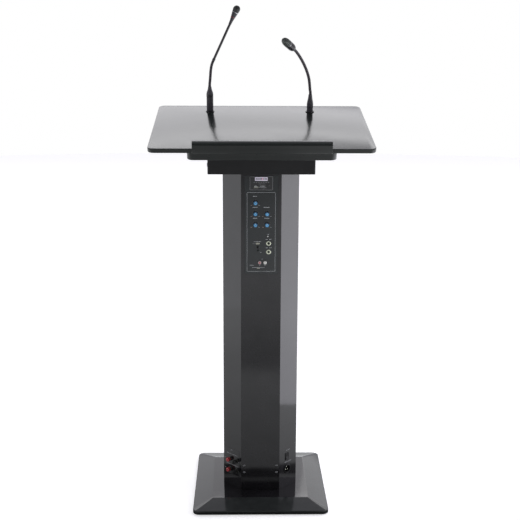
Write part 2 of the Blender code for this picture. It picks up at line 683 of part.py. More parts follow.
def mic_plug(name, socket, shape, neck):
    """The connector shell: a pin sleeve in the socket, a body, a cone and a ball under the neck."""
    radius, body, tip = shape
    ball = tip + neck * 0.6
    sleeve = min(radius, SOCKET_BORE - GAP)
    step = 3 * MM
    profile = dome(neck, ball, 4) + [(neck, tip), (radius - 1 * MM, body), (radius, body - 1.5 * MM)]
    if radius > sleeve:
        profile += [(radius, step), (sleeve, step)]
    profile += [(sleeve, -14 * MM), (0, -14 * MM)]
    turned(f"{name}_mic_plug", profile, BLACK_PLASTIC, 24, parent=socket)
    return ball


def straight_neck(name, start, end, radius):
    """Lower neck: flat where it meets the ball below, and round where the upper neck turns on it."""
    run = end - start
    low = radius + GAP
    profile = dome(radius, run.length, 4) + [(radius, low), (0, low)]
    turned(name, profile, GOOSENECK, 16, location=start, rotation=along(run))


def bent_neck(name, path, radius, count=14):
    """Upper right neck: a tube along the cubic curve that four points control."""
    curve = bpy.data.curves.new(name, "CURVE")
    curve.dimensions = "3D"
    curve.bevel_depth = radius
    curve.bevel_resolution = 2
    curve.use_fill_caps = True
    spline = curve.splines.new("POLY")
    spline.points.add(count)
    start, rise, bow, end = path
    for index, target in enumerate(spline.points):
        t = index / count
        rest = 1 - t
        point = start * rest ** 3 + rise * 3 * t * rest ** 2 + bow * 3 * t ** 2 * rest + end * t ** 3
        target.co = (*point, 1)
    place(bpy.data.objects.new(name, welded_mesh(name, curve)), GOOSENECK)


def left_microphone(desk):
    socket = frame("left_socket_frame", (-MIC_X, MIC_UP, 0), parent=desk)
    mic_socket("left", socket)
    ball = mic_plug("left", socket, LEFT_PLUG, LEFT_NECK)
    straight_neck("left_neck_lower", standing_point(socket, ball), LEFT_BEND, LEFT_NECK)
    run = LEFT_HEAD_START - LEFT_BEND
    profile = [(0, run.length), (LEFT_STEM, run.length), (LEFT_STEM, LEFT_NECK + GAP), (0, LEFT_NECK + GAP)]
    turned("left_neck_upper", profile, GOOSENECK, 16, location=LEFT_BEND, rotation=along(run))
    radius, length = LEFT_HEAD_RADIUS, LEFT_HEAD_LENGTH
    head = dome(radius, length - radius, 5) + [(radius, length * 0.68), (8.2 * MM, length * 0.5),
                                              (LEFT_STEM + 0.4 * MM, GAP), (0, GAP)]
    turned("left_mic_head", head, MIC_GRILLE, 20, location=LEFT_HEAD_START, rotation=along(run))


def right_microphone(desk):
    socket = frame("right_socket_frame", (MIC_X, MIC_UP, 0), parent=desk)
    mic_socket("right", socket)
    ball = mic_plug("right", socket, RIGHT_PLUG, RIGHT_NECK)
    base = standing_point(socket, ball)
    straight_neck("right_neck_lower", base, RIGHT_BEND, RIGHT_NECK)
    foot = RIGHT_BEND + (RIGHT_RISE - RIGHT_BEND).normalized() * (RIGHT_NECK + GAP)
    bow = RIGHT_HEAD_START - RIGHT_HEAD_AXIS * RIGHT_BOW
    end = RIGHT_HEAD_START - RIGHT_HEAD_AXIS * GAP
    bent_neck("right_neck_upper", (foot, RIGHT_RISE, bow, end), RIGHT_NECK - 0.2 * MM)
    radius, length = RIGHT_HEAD_RADIUS, RIGHT_HEAD_LENGTH
    head = dome(radius, length - radius * 1.3, 5) + [(radius, length * 0.35), (radius * 0.84, length * 0.12),
                                                    (RIGHT_NECK + 0.6 * MM, GAP), (0, GAP)]
    turned("right_mic_head", head, MIC_GRILLE, 24, location=RIGHT_HEAD_START, rotation=along(RIGHT_HEAD_AXIS))


def standing_point(parent, height):
    """A point on a frame's own Z axis, in the standing frame."""
    bpy.context.view_layer.update()
    return parent.matrix_world @ Vector((0, 0, height))


def build():
    panel = frame("front_panel_frame", (0, -FACE_Y, 0), (QUARTER, 0, 0))
    left_panel = frame("left_panel_frame", (-CHAMFER_MID_X, -CHAMFER_MID_Y, 0), (QUARTER, 0, -DIAGONAL))
    right_panel = frame("right_panel_frame", (CHAMFER_MID_X, -CHAMFER_MID_Y, 0), (QUARTER, 0, DIAGONAL))
    pivot = frame("pivot_frame", (0, 0, PIVOT_HEIGHT))
    axis = frame("desk_tilt_axis", (0, 0, PIVOT_HEIGHT), (TILT, 0, 0))
    desk = frame("desk_top_frame", (0, DESK_UP, DESK_OUT), parent=axis)
    base_plate()
    rubber_feet()
    column_front_board(panel)
    column_rear_board()
    column_wings(left_panel, right_panel)
    column_plates()
    amp_faceplate(panel)
    knobs(panel)
    jacks(panel)
    rca_sockets(panel)
    indicator_and_switch(panel)
    player_module(panel)
    amplifier(panel)
    speaker_terminals(left_panel)
    mains_side(right_panel)
    speakers()
    neck_tray(pivot)
    pivot_bolts(pivot)
    tilt_brackets(axis)
    desk_board(desk)
    support_board(desk)
    ledge(desk)
    left_microphone(desk)
    right_microphone(desk)


build()
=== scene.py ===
import json
import math
import random

import bmesh
import bpy
from mathutils import Matrix, Vector


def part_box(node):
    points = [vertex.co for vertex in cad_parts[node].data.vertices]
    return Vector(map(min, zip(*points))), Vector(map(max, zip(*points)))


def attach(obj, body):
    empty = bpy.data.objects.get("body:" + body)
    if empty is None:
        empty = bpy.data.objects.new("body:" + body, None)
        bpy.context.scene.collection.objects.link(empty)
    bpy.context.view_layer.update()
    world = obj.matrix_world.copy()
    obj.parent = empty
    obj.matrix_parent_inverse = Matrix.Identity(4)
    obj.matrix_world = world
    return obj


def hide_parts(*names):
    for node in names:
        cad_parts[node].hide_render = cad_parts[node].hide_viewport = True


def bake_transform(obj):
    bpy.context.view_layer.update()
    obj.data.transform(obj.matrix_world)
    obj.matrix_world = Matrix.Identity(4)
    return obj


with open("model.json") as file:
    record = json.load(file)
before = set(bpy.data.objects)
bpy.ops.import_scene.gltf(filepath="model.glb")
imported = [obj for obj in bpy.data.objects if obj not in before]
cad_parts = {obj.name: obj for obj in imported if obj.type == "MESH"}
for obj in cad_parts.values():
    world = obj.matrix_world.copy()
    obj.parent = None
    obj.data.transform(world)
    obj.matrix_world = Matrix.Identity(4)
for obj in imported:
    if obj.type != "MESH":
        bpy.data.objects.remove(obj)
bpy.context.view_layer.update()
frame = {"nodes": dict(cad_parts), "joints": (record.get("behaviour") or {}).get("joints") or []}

MM = 0.001
TURN = math.tau
JOINTS = {joint["name"]: joint for joint in frame["joints"]}
KNOBS = [name for name in JOINTS if name.endswith("knob_turn")]
TERMINAL_CAPS = [name for name in JOINTS if name.startswith("terminal_cap")]

# Places on the model, in metres
FACE_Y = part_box("column_front_board")[0][1]
SIDE_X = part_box("column_right_wing")[1][0]
FACE_HALF = 60 * MM
CHAMFER_MID_X = (FACE_HALF + SIDE_X) / 2
CHAMFER_MID_Y = FACE_Y + (SIDE_X - FACE_HALF) / 2
LEFT_HEAD_START = Vector((-0.0955, 0.138, 1.4668))
RIGHT_RISE = Vector((0.1538, 0.127, 1.3301))
RIGHT_HEAD_START = Vector((0.1040, 0.086, 1.3905))
RIGHT_HEAD_WAY = Vector((-0.68, -0.47, 0.56)).normalized()

# Sizes in millimetres and degrees
DESK_SIZE = (650, 436.5)
DESK_THICK = 13
DESK_SLOPE = 13.7
MIC_X = 158.6
MIC_UP = 152
PLAYER_FACE = 1.9
TERMINAL_PLATE_TOP = 0.5
INK_LOW = 0.02
INK_HIGH = 0.10


def at(x, y, z=0.0):
    """A move in millimetres."""
    return Matrix.Translation((x * MM, y * MM, z * MM))


def rotation(axis, degrees):
    return Matrix.Rotation(math.radians(degrees), 4, axis)


def node_middle(name):
    low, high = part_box(name)
    return (Vector(low) + Vector(high)) / 2


def joint_place(name):
    return Vector(JOINTS[name]["pos_m"])


def aim(origin, direction):
    """A frame at origin whose local Z points along a direction."""
    return Matrix.Translation(origin) @ Vector(direction).to_track_quat("Z", "Y").to_matrix().to_4x4()


def joint_frame(name):
    return aim(joint_place(name), JOINTS[name]["axis"])


def column_face(x, y, degrees):
    """A frame on an upright face, turned about the column."""
    return Matrix.Translation((x, y, 0)) @ rotation("Z", degrees) @ rotation("X", 90)


# Frames whose local Z points out of a face, local X across it and local Y up it
PANEL = column_face(0, FACE_Y, 0)
LEFT_CHAMFER = column_face(-CHAMFER_MID_X, CHAMFER_MID_Y, -45)
RIGHT_CHAMFER = column_face(CHAMFER_MID_X, CHAMFER_MID_Y, 45)
REAR = column_face(0, -FACE_Y, 180)
DESK = Matrix.Translation(node_middle("desk_board")) @ rotation("X", DESK_SLOPE) @ at(0, 0, DESK_THICK / 2)
DESK_NORMAL = DESK.to_3x3() @ Vector((0, 0, 1))


def panel_spot(place):
    """The frame on the control panel in front of a place on the lectern."""
    return PANEL @ Matrix.Translation((place.x, place.z, 0))


# Materials

WAVE_DISTANCE = 0.4 * MM
GRAIN_DISTANCE = 0.08 * MM


def node(tree, kind, **values):
    """A shader node with its properties or inputs set; an underscore stands for a space in a name."""
    made = tree.nodes.new(kind)
    for key, value in values.items():
        if hasattr(made, key):
            setattr(made, key, value)
        else:
            made.inputs[key.replace("_", " ")].default_value = value
    return made


def noise_field(tree, coordinates, scale, detail):
    field = node(tree, "ShaderNodeTexNoise", Scale=scale, Detail=detail)
    tree.links.new(coordinates, field.inputs["Vector"])
    return field.outputs["Fac"]


def fade(tree, value, start, end, low, high, smooth=True):
    """Goes from low to high as a value goes from start to end."""
    mapped = node(tree, "ShaderNodeMapRange", interpolation_type="SMOOTHSTEP" if smooth else "LINEAR")
    for socket, number in (("From Min", start), ("From Max", end), ("To Min", low), ("To Max", high)):
        mapped.inputs[socket].default_value = number
    tree.links.new(value, mapped.inputs["Value"])
    return mapped.outputs["Result"]


def spread(tree, value, low, high):
    """Maps the middle of a noise field onto a range."""
    return fade(tree, value, 0.32, 0.68, low, high, False)


def bump(tree, height, strength, distance, below=None):
    made = node(tree, "ShaderNodeBump", Strength=strength, Distance=distance)
    tree.links.new(height, made.inputs["Height"])
    if below is not None:
        tree.links.new(below, made.inputs["Normal"])
    return made.outputs["Normal"]


def surface(name, colour, rough, colour_spread=0.18, colour_scale=25.0, rough_spread=0.03, rough_scale=45.0,
            grain=0.0, grain_scale=1800.0, wave=0.0, wave_scale=60.0, constants=None):
    """A Principled material whose colour, roughness and relief come from noise in object space."""
    material = bpy.data.materials.new(name)
    material.use_nodes = True
    tree = material.node_tree
    shader = tree.nodes["Principled BSDF"]
    coordinates = node(tree, "ShaderNodeTexCoord").outputs["Object"]
    mix = node(tree, "ShaderNodeMix", data_type="RGBA")
    dark = [channel * (1 - colour_spread) for channel in colour]
    light = [channel * (1 + colour_spread) for channel in colour]
    mix.inputs["A"].default_value = (*dark, 1)
    mix.inputs["B"].default_value = (*light, 1)
    patches = noise_field(tree, coordinates, colour_scale, 4.0)
    tree.links.new(spread(tree, patches, 0, 1), mix.inputs["Factor"])
    tree.links.new(mix.outputs["Result"], shader.inputs["Base Color"])
    smears = noise_field(tree, coordinates, rough_scale, 5.0)
    rough_value = spread(tree, smears, max(rough - rough_spread, 0.02), rough + rough_spread)
    tree.links.new(rough_value, shader.inputs["Roughness"])
    normal = None
    if wave:
        normal = bump(tree, noise_field(tree, coordinates, wave_scale, 1.0), wave, WAVE_DISTANCE)
    if grain:
        normal = bump(tree, noise_field(tree, coordinates, grain_scale, 2.0), grain, GRAIN_DISTANCE, normal)
    if normal is not None:
        tree.links.new(normal, shader.inputs["Normal"])
    for socket, value in (constants or {}).items():
        shader.inputs[socket].default_value = value
    return material


LACQUER = surface("black_lacquer", (0.0110, 0.0106, 0.0118), 0.08, rough_spread=0.02, wave=0.05,
                  wave_scale=60, grain=0.03, constants={"IOR": 1.45})
# Painted light: a lighter copy of the lacquer for the base's slopes and edges, beside its darker flat top
PAINTED_LIGHT_LACQUER = surface("painted_light_lacquer", (0.024, 0.027, 0.026), 0.09, rough_spread=0.02, wave=0.05,
                       wave_scale=60, grain=0.03, constants={"IOR": 1.45})
LAMINATE = surface("desk_laminate", (0.014, 0.019, 0.017), 0.17, rough_spread=0.012, rough_scale=12,
                   colour_scale=8, grain=0.12, grain_scale=2400, constants={"IOR": 1.58})
EDGE_BAND = surface("edge_band", (0.0050, 0.0068, 0.0060), 0.30, grain=0.12, grain_scale=2000,
                    constants={"Specular IOR Level": 0.3})
POWDER_COAT = surface("powder_coat", (0.0055, 0.0055, 0.006), 0.36, wave=0.2, wave_scale=900, grain=0.25,
                      constants={"Specular IOR Level": 0.3})
PANEL_PAINT = surface("panel_paint", (0.0062, 0.0092, 0.0100), 0.22, grain=0.3, grain_scale=2600)
RUBBER = surface("rubber", (0.018, 0.018, 0.018), 0.78, grain=0.5, grain_scale=1500)
MOULDED = surface("moulded_black", (0.012, 0.012, 0.013), 0.40, grain=0.5, grain_scale=3000)
MATT_BLACK = surface("matt_black", (0.006, 0.006, 0.0065), 0.5, grain=0.4, grain_scale=2800,
                     constants={"Specular IOR Level": 0.2})
MIC_BLACK = surface("microphone_black", (0.036, 0.034, 0.039), 0.36, grain=0.2, grain_scale=2500)
PLUG_BLACK = surface("plug_black", (0.085, 0.080, 0.092), 0.42, grain=0.2, grain_scale=2500)
SATIN_BLACK = surface("satin_black", (0.007, 0.007, 0.008), 0.27, grain=0.2, grain_scale=2500)
BLUE = surface("blue_cap", (0.045, 0.22, 0.46), 0.36, colour_spread=0.10, grain=0.3, grain_scale=2500)
BLUE_TOP = surface("blue_cap_top", (0.17, 0.50, 0.76), 0.33, colour_spread=0.08, grain=0.3, grain_scale=2500)
RED = surface("red_cap", (0.50, 0.050, 0.055), 0.40, colour_spread=0.10, grain=0.2)
PINK = surface("pale_pink", (0.62, 0.50, 0.50), 0.34, colour_spread=0.05, grain=0.2)
IVORY = surface("ivory", (0.88, 0.87, 0.82), 0.34, colour_spread=0.05, grain=0.2)
PLATED = surface("nickel_plate", (0.60, 0.62, 0.50), 0.20, colour_spread=0.06, rough_spread=0.06, grain=0.1,
                 constants={"Metallic": 1.0})
DARK_METAL = surface("dark_metal", (0.045, 0.045, 0.047), 0.30, rough_spread=0.06, grain=0.2,
                     constants={"Metallic": 1.0})
GREY_METAL = surface("zinc_screw", (0.26, 0.26, 0.27), 0.34, rough_spread=0.08, grain=0.3,
                     constants={"Metallic": 1.0})
NECK_METAL = surface("black_oxide", (0.060, 0.052, 0.062), 0.48, rough_spread=0.08, grain=0.2)
MESH_BLACK = surface("basket_black", (0.026, 0.028, 0.027), 0.42, grain=0.3)
MESH_GREY = surface("basket_grey", (0.095, 0.105, 0.098), 0.42, grain=0.3, constants={"Metallic": 0.5})
INK = surface("pale_ink", (0.36, 0.37, 0.38), 0.55, colour_spread=0.12, colour_scale=400)
INK_DIM = surface("dim_ink", (0.25, 0.255, 0.26), 0.55, colour_spread=0.12, colour_scale=400)
INK_WARM = surface("warm_ink", (0.34, 0.22, 0.18), 0.55, colour_spread=0.12, colour_scale=400)
CREAM = surface("cream_print", (0.33, 0.325, 0.265), 0.55, colour_spread=0.12, colour_scale=400)
LABEL = surface("label_print", (0.20, 0.205, 0.215), 0.45, colour_spread=0.14, colour_scale=300, grain=0.2)
SCREEN = surface("display_screen", (0.50, 0.47, 0.54), 0.22, colour_spread=0.06, colour_scale=120,
                 constants={"Emission Color": (0.60, 0.56, 0.66, 1), "Emission Strength": 0.26})
SCREEN_DARK = surface("display_blocks", (0.10, 0.095, 0.13), 0.25, colour_spread=0.10, colour_scale=200)
SCREEN_RED = surface("display_red", (0.62, 0.16, 0.26), 0.25, colour_spread=0.10, colour_scale=200)
LENS_CLEAR = surface("indicator_lens", (0.62, 0.62, 0.60), 0.12, colour_spread=0.05)
LENS_RED = surface("ring_light", (0.20, 0.012, 0.02), 0.16, colour_spread=0.10)
# Painted shade: a near-black stand-in for the shade inside bores and recesses
PAINTED_HOLE_SHADE = surface("painted_hole_shade", (0.004, 0.004, 0.004), 0.7, colour_spread=0.2)
CIRCUIT = surface("solder_mask", (0.015, 0.12, 0.05), 0.4, colour_scale=120, grain=0.4, grain_scale=700)
CORE = surface("transformer_core", (0.17, 0.15, 0.12), 0.45, colour_scale=90, grain=0.5, grain_scale=900)
PULP = surface("cone_pulp", (0.022, 0.022, 0.023), 0.75, grain=0.7, grain_scale=900)


# Mesh helpers: every shape is a stack of rings joined by faces; profiles, sizes and heights are millimetres

def loft(mesh, rings, slot=0, closed=False):
    """Joins rings of points into a skin; its ends are capped unless the stack closes on itself."""
    loops = [[mesh.verts.new(point) for point in points] for points in rings]
    pairs = list(zip(loops, loops[1:]))
    if closed:
        pairs.append((loops[-1], loops[0]))
    faces = []
    for lower, upper in pairs:
        for index in range(len(lower)):
            after = (index + 1) % len(lower)
            faces.append(mesh.faces.new((lower[index], lower[after], upper[after], upper[index])))
    if not closed:
        faces.append(mesh.faces.new(loops[0][::-1]))
        faces.append(mesh.faces.new(loops[-1]))
    for face in faces:
        face.material_index = slot


def lifted(outline, height, place=Matrix()):
    """The points of a flat outline at a height in a frame."""
    return [place @ (Vector((x, y, height)) * MM) for x, y in outline]


def turned_rings(profile, place, segments, shape):
    rings = []
    for radius, height in profile:
        outline = []
        for step in range(segments):
            angle = TURN * step / segments
            reach = radius + (shape(angle, height) if shape else 0.0)
            outline.append((reach * math.cos(angle), reach * math.sin(angle)))
        rings.append(lifted(outline, height, place))
    return rings


def turned(mesh, profile, place, slot=0, segments=48, shape=None):
    """Turns a profile of (radius, height) about local Z; shape adds to the radius round the turn."""
    loft(mesh, turned_rings(profile, place, segments, shape), slot)


def ring(mesh, profile, place, slot=0, segments=48, shape=None):
    """Turns a closed profile about local Z, so its middle stays open."""
    loft(mesh, turned_rings(profile, place, segments, shape), slot, closed=True)


def round_rectangle(width, height, radius, corner_steps=6):
    radius = max(radius, 0.02)
    points = []
    for quarter, (side_x, side_y) in enumerate(((1, 1), (-1, 1), (-1, -1), (1, -1))):
        for step in range(corner_steps + 1):
            angle = (quarter + step / corner_steps) * TURN / 4
            points.append((side_x * (width / 2 - radius) + radius * math.cos(angle),
                           side_y * (height / 2 - radius) + radius * math.sin(angle)))
    return points


def slab(mesh, size, corner, low, high, place, slot, edge=0.0, foot_edge=0.0, corner_steps=6, edge_steps=3):
    """A rounded rectangle between two heights, with its top and foot edges rounded."""
    levels = []
    if foot_edge:
        for step in range(edge_steps):
            angle = TURN / 4 * step / edge_steps
            levels.append((foot_edge * (1 - math.sin(angle)), low + foot_edge * (1 - math.cos(angle))))
        levels.append((0, low + foot_edge))
    else:
        levels.append((0, low))
    if edge:
        for step in range(edge_steps + 1):
            angle = TURN / 4 * step / edge_steps
            levels.append((edge * (1 - math.cos(angle)), high - edge * (1 - math.sin(angle))))
    else:
        levels.append((0, high))
    rings = []
    for inset, height in levels:
        outline = round_rectangle(size[0] - 2 * inset, size[1] - 2 * inset, corner - inset, corner_steps)
        rings.append(lifted(outline, height, place))
    loft(mesh, rings, slot)


def window_frame(mesh, outer, inner, corner, low, high, place, slot=0):
    """A flat ring between two rounded rectangles, with a softened front."""
    soft = min(0.3, (high - low) / 2)
    front_outer = (outer[0] - 2 * soft, outer[1] - 2 * soft)
    front_inner = (inner[0] + soft, inner[1] + soft)
    levels = [(outer, low, corner), (outer, high - soft, corner), (front_outer, high, corner),
              (front_inner, high, corner * 0.6), (inner, high - soft, corner * 0.5),
              (inner, low, corner * 0.5)]
    rings = [lifted(round_rectangle(*size, radius), height, place) for size, height, radius in levels]
    loft(mesh, rings, slot, closed=True)


def dome(radius, base, height, steps=8, tip=0.04):
    """Profile from the edge of a dome up to a tiny flat at its tip."""
    points = []
    for step in range(steps + 1):
        angle = TURN / 4 * step / steps
        points.append((max(radius * math.cos(angle), radius * tip), base + height * math.sin(angle)))
    return points


def smooth_path(points):
    """A Catmull-Rom curve through the given points, in metres like every path."""
    per_span = 24
    padded = [points[0] * 2 - points[1], *points, points[-1] * 2 - points[-2]]
    path = []
    for first, second, third, fourth in zip(padded, padded[1:], padded[2:], padded[3:]):
        for step in range(per_span):
            t = step / per_span
            path.append(0.5 * (2 * second + (third - first) * t
                               + (2 * first - 5 * second + 4 * third - fourth) * t ** 2
                               + (3 * second - first - 3 * third + fourth) * t ** 3))
    return [*path, points[-1].copy()]


def even_path(path, spacing):
    """The same path with points an equal distance apart."""
    lengths = [0.0]
    for before, after in zip(path, path[1:]):
        lengths.append(lengths[-1] + (after - before).length)
    count = max(2, round(lengths[-1] / spacing))
    result, index = [], 0
    for step in range(count + 1):
        target = lengths[-1] * step / count
        while index < len(path) - 2 and lengths[index + 1] < target:
            index += 1
        span = max(lengths[index + 1] - lengths[index], 1e-9)
        result.append(path[index].lerp(path[index + 1], (target - lengths[index]) / span))
    return result


def tube(mesh, path, radius_at, segments):
    """A round skin along a path; radius_at gives the radius at a distance from the start."""
    side = (path[1] - path[0]).orthogonal().normalized()
    rings, travelled = [], 0.0
    for index, point in enumerate(path):
        ahead = path[min(index + 1, len(path) - 1)] - path[max(index - 1, 0)]
        ahead.normalize()
        side = (side - ahead * side.dot(ahead)).normalized()
        other = ahead.cross(side)
        if index:
            travelled += (point - path[index - 1]).length
        radius = radius_at(travelled)
        rings.append([point + radius * (side * math.cos(TURN * step / segments)
                                        + other * math.sin(TURN * step / segments))
                      for step in range(segments)])
    loft(mesh, rings)


def piece(name, mesh, materials, body=None, replaces=(), sharp=35):
    """Turns a built mesh into an object that rides on a body and may stand for model nodes."""
    bmesh.ops.recalc_face_normals(mesh, faces=mesh.faces)
    data = bpy.data.meshes.new(name)
    mesh.to_mesh(data)
    mesh.free()
    for material in materials:
        data.materials.append(material)
    data.shade_smooth()
    data.set_sharp_from_angle(angle=math.radians(sharp))
    made = bpy.data.objects.new(name, data)
    bpy.context.scene.collection.objects.link(made)
    if body:
        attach(made, body)
    if replaces:
        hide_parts(*replaces)
    return made


def hexagon(depth):
    """Flattens a round into a six-sided nut."""
    return lambda angle, height: -depth * (0.5 + 0.5 * math.cos(6 * angle))


def flutes(count, depth):
    """Shallow rounded grooves round a cap."""
    return lambda angle, height: -depth * (0.5 - 0.5 * math.cos(count * angle)) ** 2


# Model nodes that keep their shape take a material by name

def paint(material, *names):
    for name in names:
        data = frame["nodes"][name].data
        data.materials.clear()
        data.materials.append(material)


def paint_model_nodes():
    paint(LACQUER, "column_front_board", "column_rear_board", "column_left_wing", "column_right_wing",
          "terminal_plate")
    paint(POWDER_COAT, "neck_tray", "tilt_bracket_left", "tilt_bracket_right", "column_top_plate",
          "column_floor_bracket")
    paint(PANEL_PAINT, "amp_faceplate")
    paint(MOULDED, "player_module")
    paint(MATT_BLACK, "mains_rocker")
    paint(CIRCUIT, "amp_circuit_board")
    paint(CORE, "power_transformer")
    paint(PULP, "woofer_upper", "woofer_lower")
    paint(RUBBER, *[name for name in frame["nodes"] if name.startswith("rubber_foot")])


# Base

def mark_upward(mesh, limit):
    """Gives the faces that look up by more than a limit the second material."""
    for face in mesh.faces:
        face.normal_update()
        if face.normal.z > limit:
            face.material_index = 1


def base_plate():
    """A low upright edge, then shallow slopes up to a flat top, with every edge slightly rounded."""
    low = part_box("base_plate")[0][2] / MM
    reach_x, reach_y, high = [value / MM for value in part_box("base_plate")[1]]
    edge_top, flat = 13, 299
    levels = [(1.4, 19.3, low), (0.4, 19.8, low + 0.3), (0, 20, low + 1), (0, 20, edge_top - 1),
              (0.3, 19.8, edge_top - 0.4), (1.6, 19.2, edge_top + 0.2), (4.5, 18.2, edge_top + 0.75)]
    rings = [lifted(round_rectangle(2 * reach_x - inset, 2 * reach_y - inset, corner, 10), height)
             for inset, corner, height in levels]
    rim = ((flat + 4, 4.5, high - 0.45), (flat + 0.8, 3.5, high - 0.06), (flat - 3, 2.4, high))
    rings += [lifted(round_rectangle(size, size, corner, 10), height) for size, corner, height in rim]
    mesh = bmesh.new()
    loft(mesh, rings)
    # Painted light and shade: the flat top takes the darker column lacquer, every other face the lighter copy
    nearly_level = 0.9995
    mark_upward(mesh, nearly_level)
    piece("base_finish", mesh, [PAINTED_LIGHT_LACQUER, LACQUER], "column", ["base_plate"], sharp=30)


# Desk

def desk_top():
    """The board: laminate above and below, an edge band round its sides."""
    mesh = bmesh.new()
    slab(mesh, DESK_SIZE, 19, -DESK_THICK, 0, DESK, 0, edge=1.6, foot_edge=1.6, corner_steps=12, edge_steps=4)
    board = piece("desk_finish", mesh, [LAMINATE, EDGE_BAND], "desk", ["desk_board"],
                  sharp=50)
    for face in board.data.polygons:
        if abs(face.normal.dot(DESK_NORMAL)) < 0.6:
            face.material_index = 1


def support_board():
    top = -DESK_THICK - 0.3
    mesh = bmesh.new()
    slab(mesh, (428, 424), 18, top - 23, top, DESK, 0, edge=1.5, foot_edge=1.5, corner_steps=12, edge_steps=4)
    piece("support_finish", mesh, [EDGE_BAND], "desk", ["support_board"], sharp=50)


def ledge():
    """The paper stop: a bar whose upper front edge is rolled over."""
    near, thick, rise, drop = -DESK_SIZE[1] / 2 - 0.3, 20, 26, 7
    far, roll, crisp = near - thick, 12, 1.5
    outline = [(near, -drop), (near, rise - 2), (near - 0.6, rise - 0.6), (near - 2, rise)]
    for step in range(13):
        angle = TURN / 4 * (1 + step / 12)
        outline.append((far + roll + roll * math.cos(angle), rise - roll + roll * math.sin(angle)))
    for step in range(4):
        angle = TURN / 4 * (2 + step / 3)
        outline.append((far + crisp + crisp * math.cos(angle), crisp - drop + crisp * math.sin(angle)))
    centre = Vector((0, (near + far) / 2, (rise - drop) / 2))
    half = 197.5
    stations = [(-half, 1.2), (-half + 0.35, 0.35), (-half + 1.2, 0), (half - 1.2, 0), (half - 0.35, 0.35),
                (half, 1.2)]
    rings = []
    for across, shrink in stations:
        points = []
        for deep, height in outline:
            inward = Vector((0, centre.y - deep, centre.z - height)).normalized()
            points.append(DESK @ ((Vector((across, deep, height)) + inward * shrink) * MM))
        rings.append(points)
    mesh = bmesh.new()
    loft(mesh, rings)
    leaning_up = 0.2
    mark_upward(mesh, leaning_up)
    piece("ledge_finish", mesh, [EDGE_BAND, LAMINATE], "desk", ["ledge"], sharp=40)


# Fasteners

def pan_screw(mesh, place, radius):
    """A low domed head whose cross recess is drawn as raised bars in painted shade."""
    turned(mesh, [(radius * 0.97, 0), (radius, 0.4), (radius * 0.9, 1.2), (radius * 0.62, 1.75),
                  (radius * 0.3, 1.9)], place, 0, 32)
    for turn in (20, 110):
        slab(mesh, (radius * 1.15, radius * 0.24), 0.2, 1.6, 1.93, place @ rotation("Z", turn), 1,
             corner_steps=2)


def column_fasteners():
    mesh = bmesh.new()
    for face, across, heights, lift, radius in ((PANEL, 50.6, (108, 85.4), 0, 3.8),
                                                (LEFT_CHAMFER, 29, (83, 115.5), TERMINAL_PLATE_TOP, 2.2),
                                                (REAR, 54, (60, 330, 560, 980), 0, 3.2)):
        for x in (-across, across):
            for height in heights:
                pan_screw(mesh, face @ at(x, height, lift), radius)
    piece("column_screws", mesh, [GREY_METAL, PAINTED_HOLE_SHADE], "column")


def pivot_bolts():
    for name, side in (("left", -1), ("right", 1)):
        place = aim(joint_place("desk_tilt") + Vector((side * 158.5 * MM, 0, 0)), (side, 0, 0))
        mesh = bmesh.new()
        turned(mesh, [(4, -13.8), (4, 0.2), (6.4, 0.25), (6.5, 1), (6.5, 4.4), (6.1, 5.2), (5.3, 5.5),
                      (3, 5.5)], place)
        # A hexagon of painted shade on the head stands for its hexagon recess
        turned(mesh, [(2.6, 5.4), (2.6, 5.55)], place, 1, 6)
        piece(f"pivot_bolt_{name}_finish", mesh, [DARK_METAL, PAINTED_HOLE_SHADE], "column", [f"pivot_bolt_{name}"])


# Printed marks on the control panel: plain bars and lines, no lettering

def bar(mesh, x, y, width, height, slot=0, place=PANEL, low=INK_LOW, high=INK_HIGH):
    slab(mesh, (width, height), min(width, height) * 0.3, low, high, place @ at(x, y), slot, corner_steps=1)


def caption(mesh, x, y, width, height, slot, seed, place=PANEL, low=INK_LOW, high=INK_HIGH):
    """A run of short bars that stands in for a printed word."""
    dice = random.Random(seed)
    cursor = x - width / 2
    while cursor < x + width / 2 - 0.8:
        stroke = min(dice.uniform(0.8, 2.2), x + width / 2 - cursor)
        tall = height * dice.uniform(0.75, 1.0)
        bar(mesh, cursor + stroke / 2, y, stroke, tall, slot, place, low, high)
        cursor += stroke + 0.5


def outline_frame(mesh, centre, size, line):
    x, y = centre
    width, height = size
    for side in (-1, 1):
        bar(mesh, x + side * (width - line) / 2, y, line, height)
        bar(mesh, x, y + side * (height - line) / 2, width, line)


def panel_print():
    """The outline, the dials with a caption over each, then the other captions and marks."""
    mesh = bmesh.new()
    outline_frame(mesh, (0, 855.4), (85, 239.5), 0.75)
    for index, name in enumerate(KNOBS):
        spot = panel_spot(joint_place(name))
        caption(mesh, -1, 19.5, 12 + 3 * (index % 3), 3, 0, index + 3, spot)
        for side, slot in ((-1, 2), (1, 1)):
            caption(mesh, side * 11.5, -7.6, 5.5, 1.7, slot, 20 + index, spot)
        for step in range(11):
            tick = spot @ rotation("Z", 240 - 30 * step) @ at(9.6, 0)
            slab(mesh, (1.5, 0.4), 0.1, INK_LOW, INK_HIGH, tick, 1, corner_steps=1)
    for words in ((20.7, 849, 6, 2, 0, 31), (17, 834, 7, 2.2, 0, 32), (28, 834, 7, 2.2, 0, 33),
                  (17, 808, 7, 2.2, 0, 32), (28, 808, 7, 2.2, 0, 33), (-10.5, 827, 21, 2, 0, 34),
                  (-0.6, 794, 5, 1.8, 1, 35), (3.8, 773.5, 5, 1.8, 1, 36), (-27.5, 754.6, 12, 3.2, 1, 37),
                  (-8, 745.6, 9, 3.4, 3, 38)):
        caption(mesh, *words)
    for mark in ((-10.2, 821, 11.5, 4.6, 3), (-21.5, 820.6, 9, 0.5, 1), (-4, 754.5, 2.2, 2, 1),
                 (12, 754.5, 2.2, 2, 1), (-8, 747.8, 38, 0.9, 0)):
        bar(mesh, *mark)
    piece("panel_print", mesh, [INK, INK_DIM, INK_WARM, CREAM], "column")


# Player module

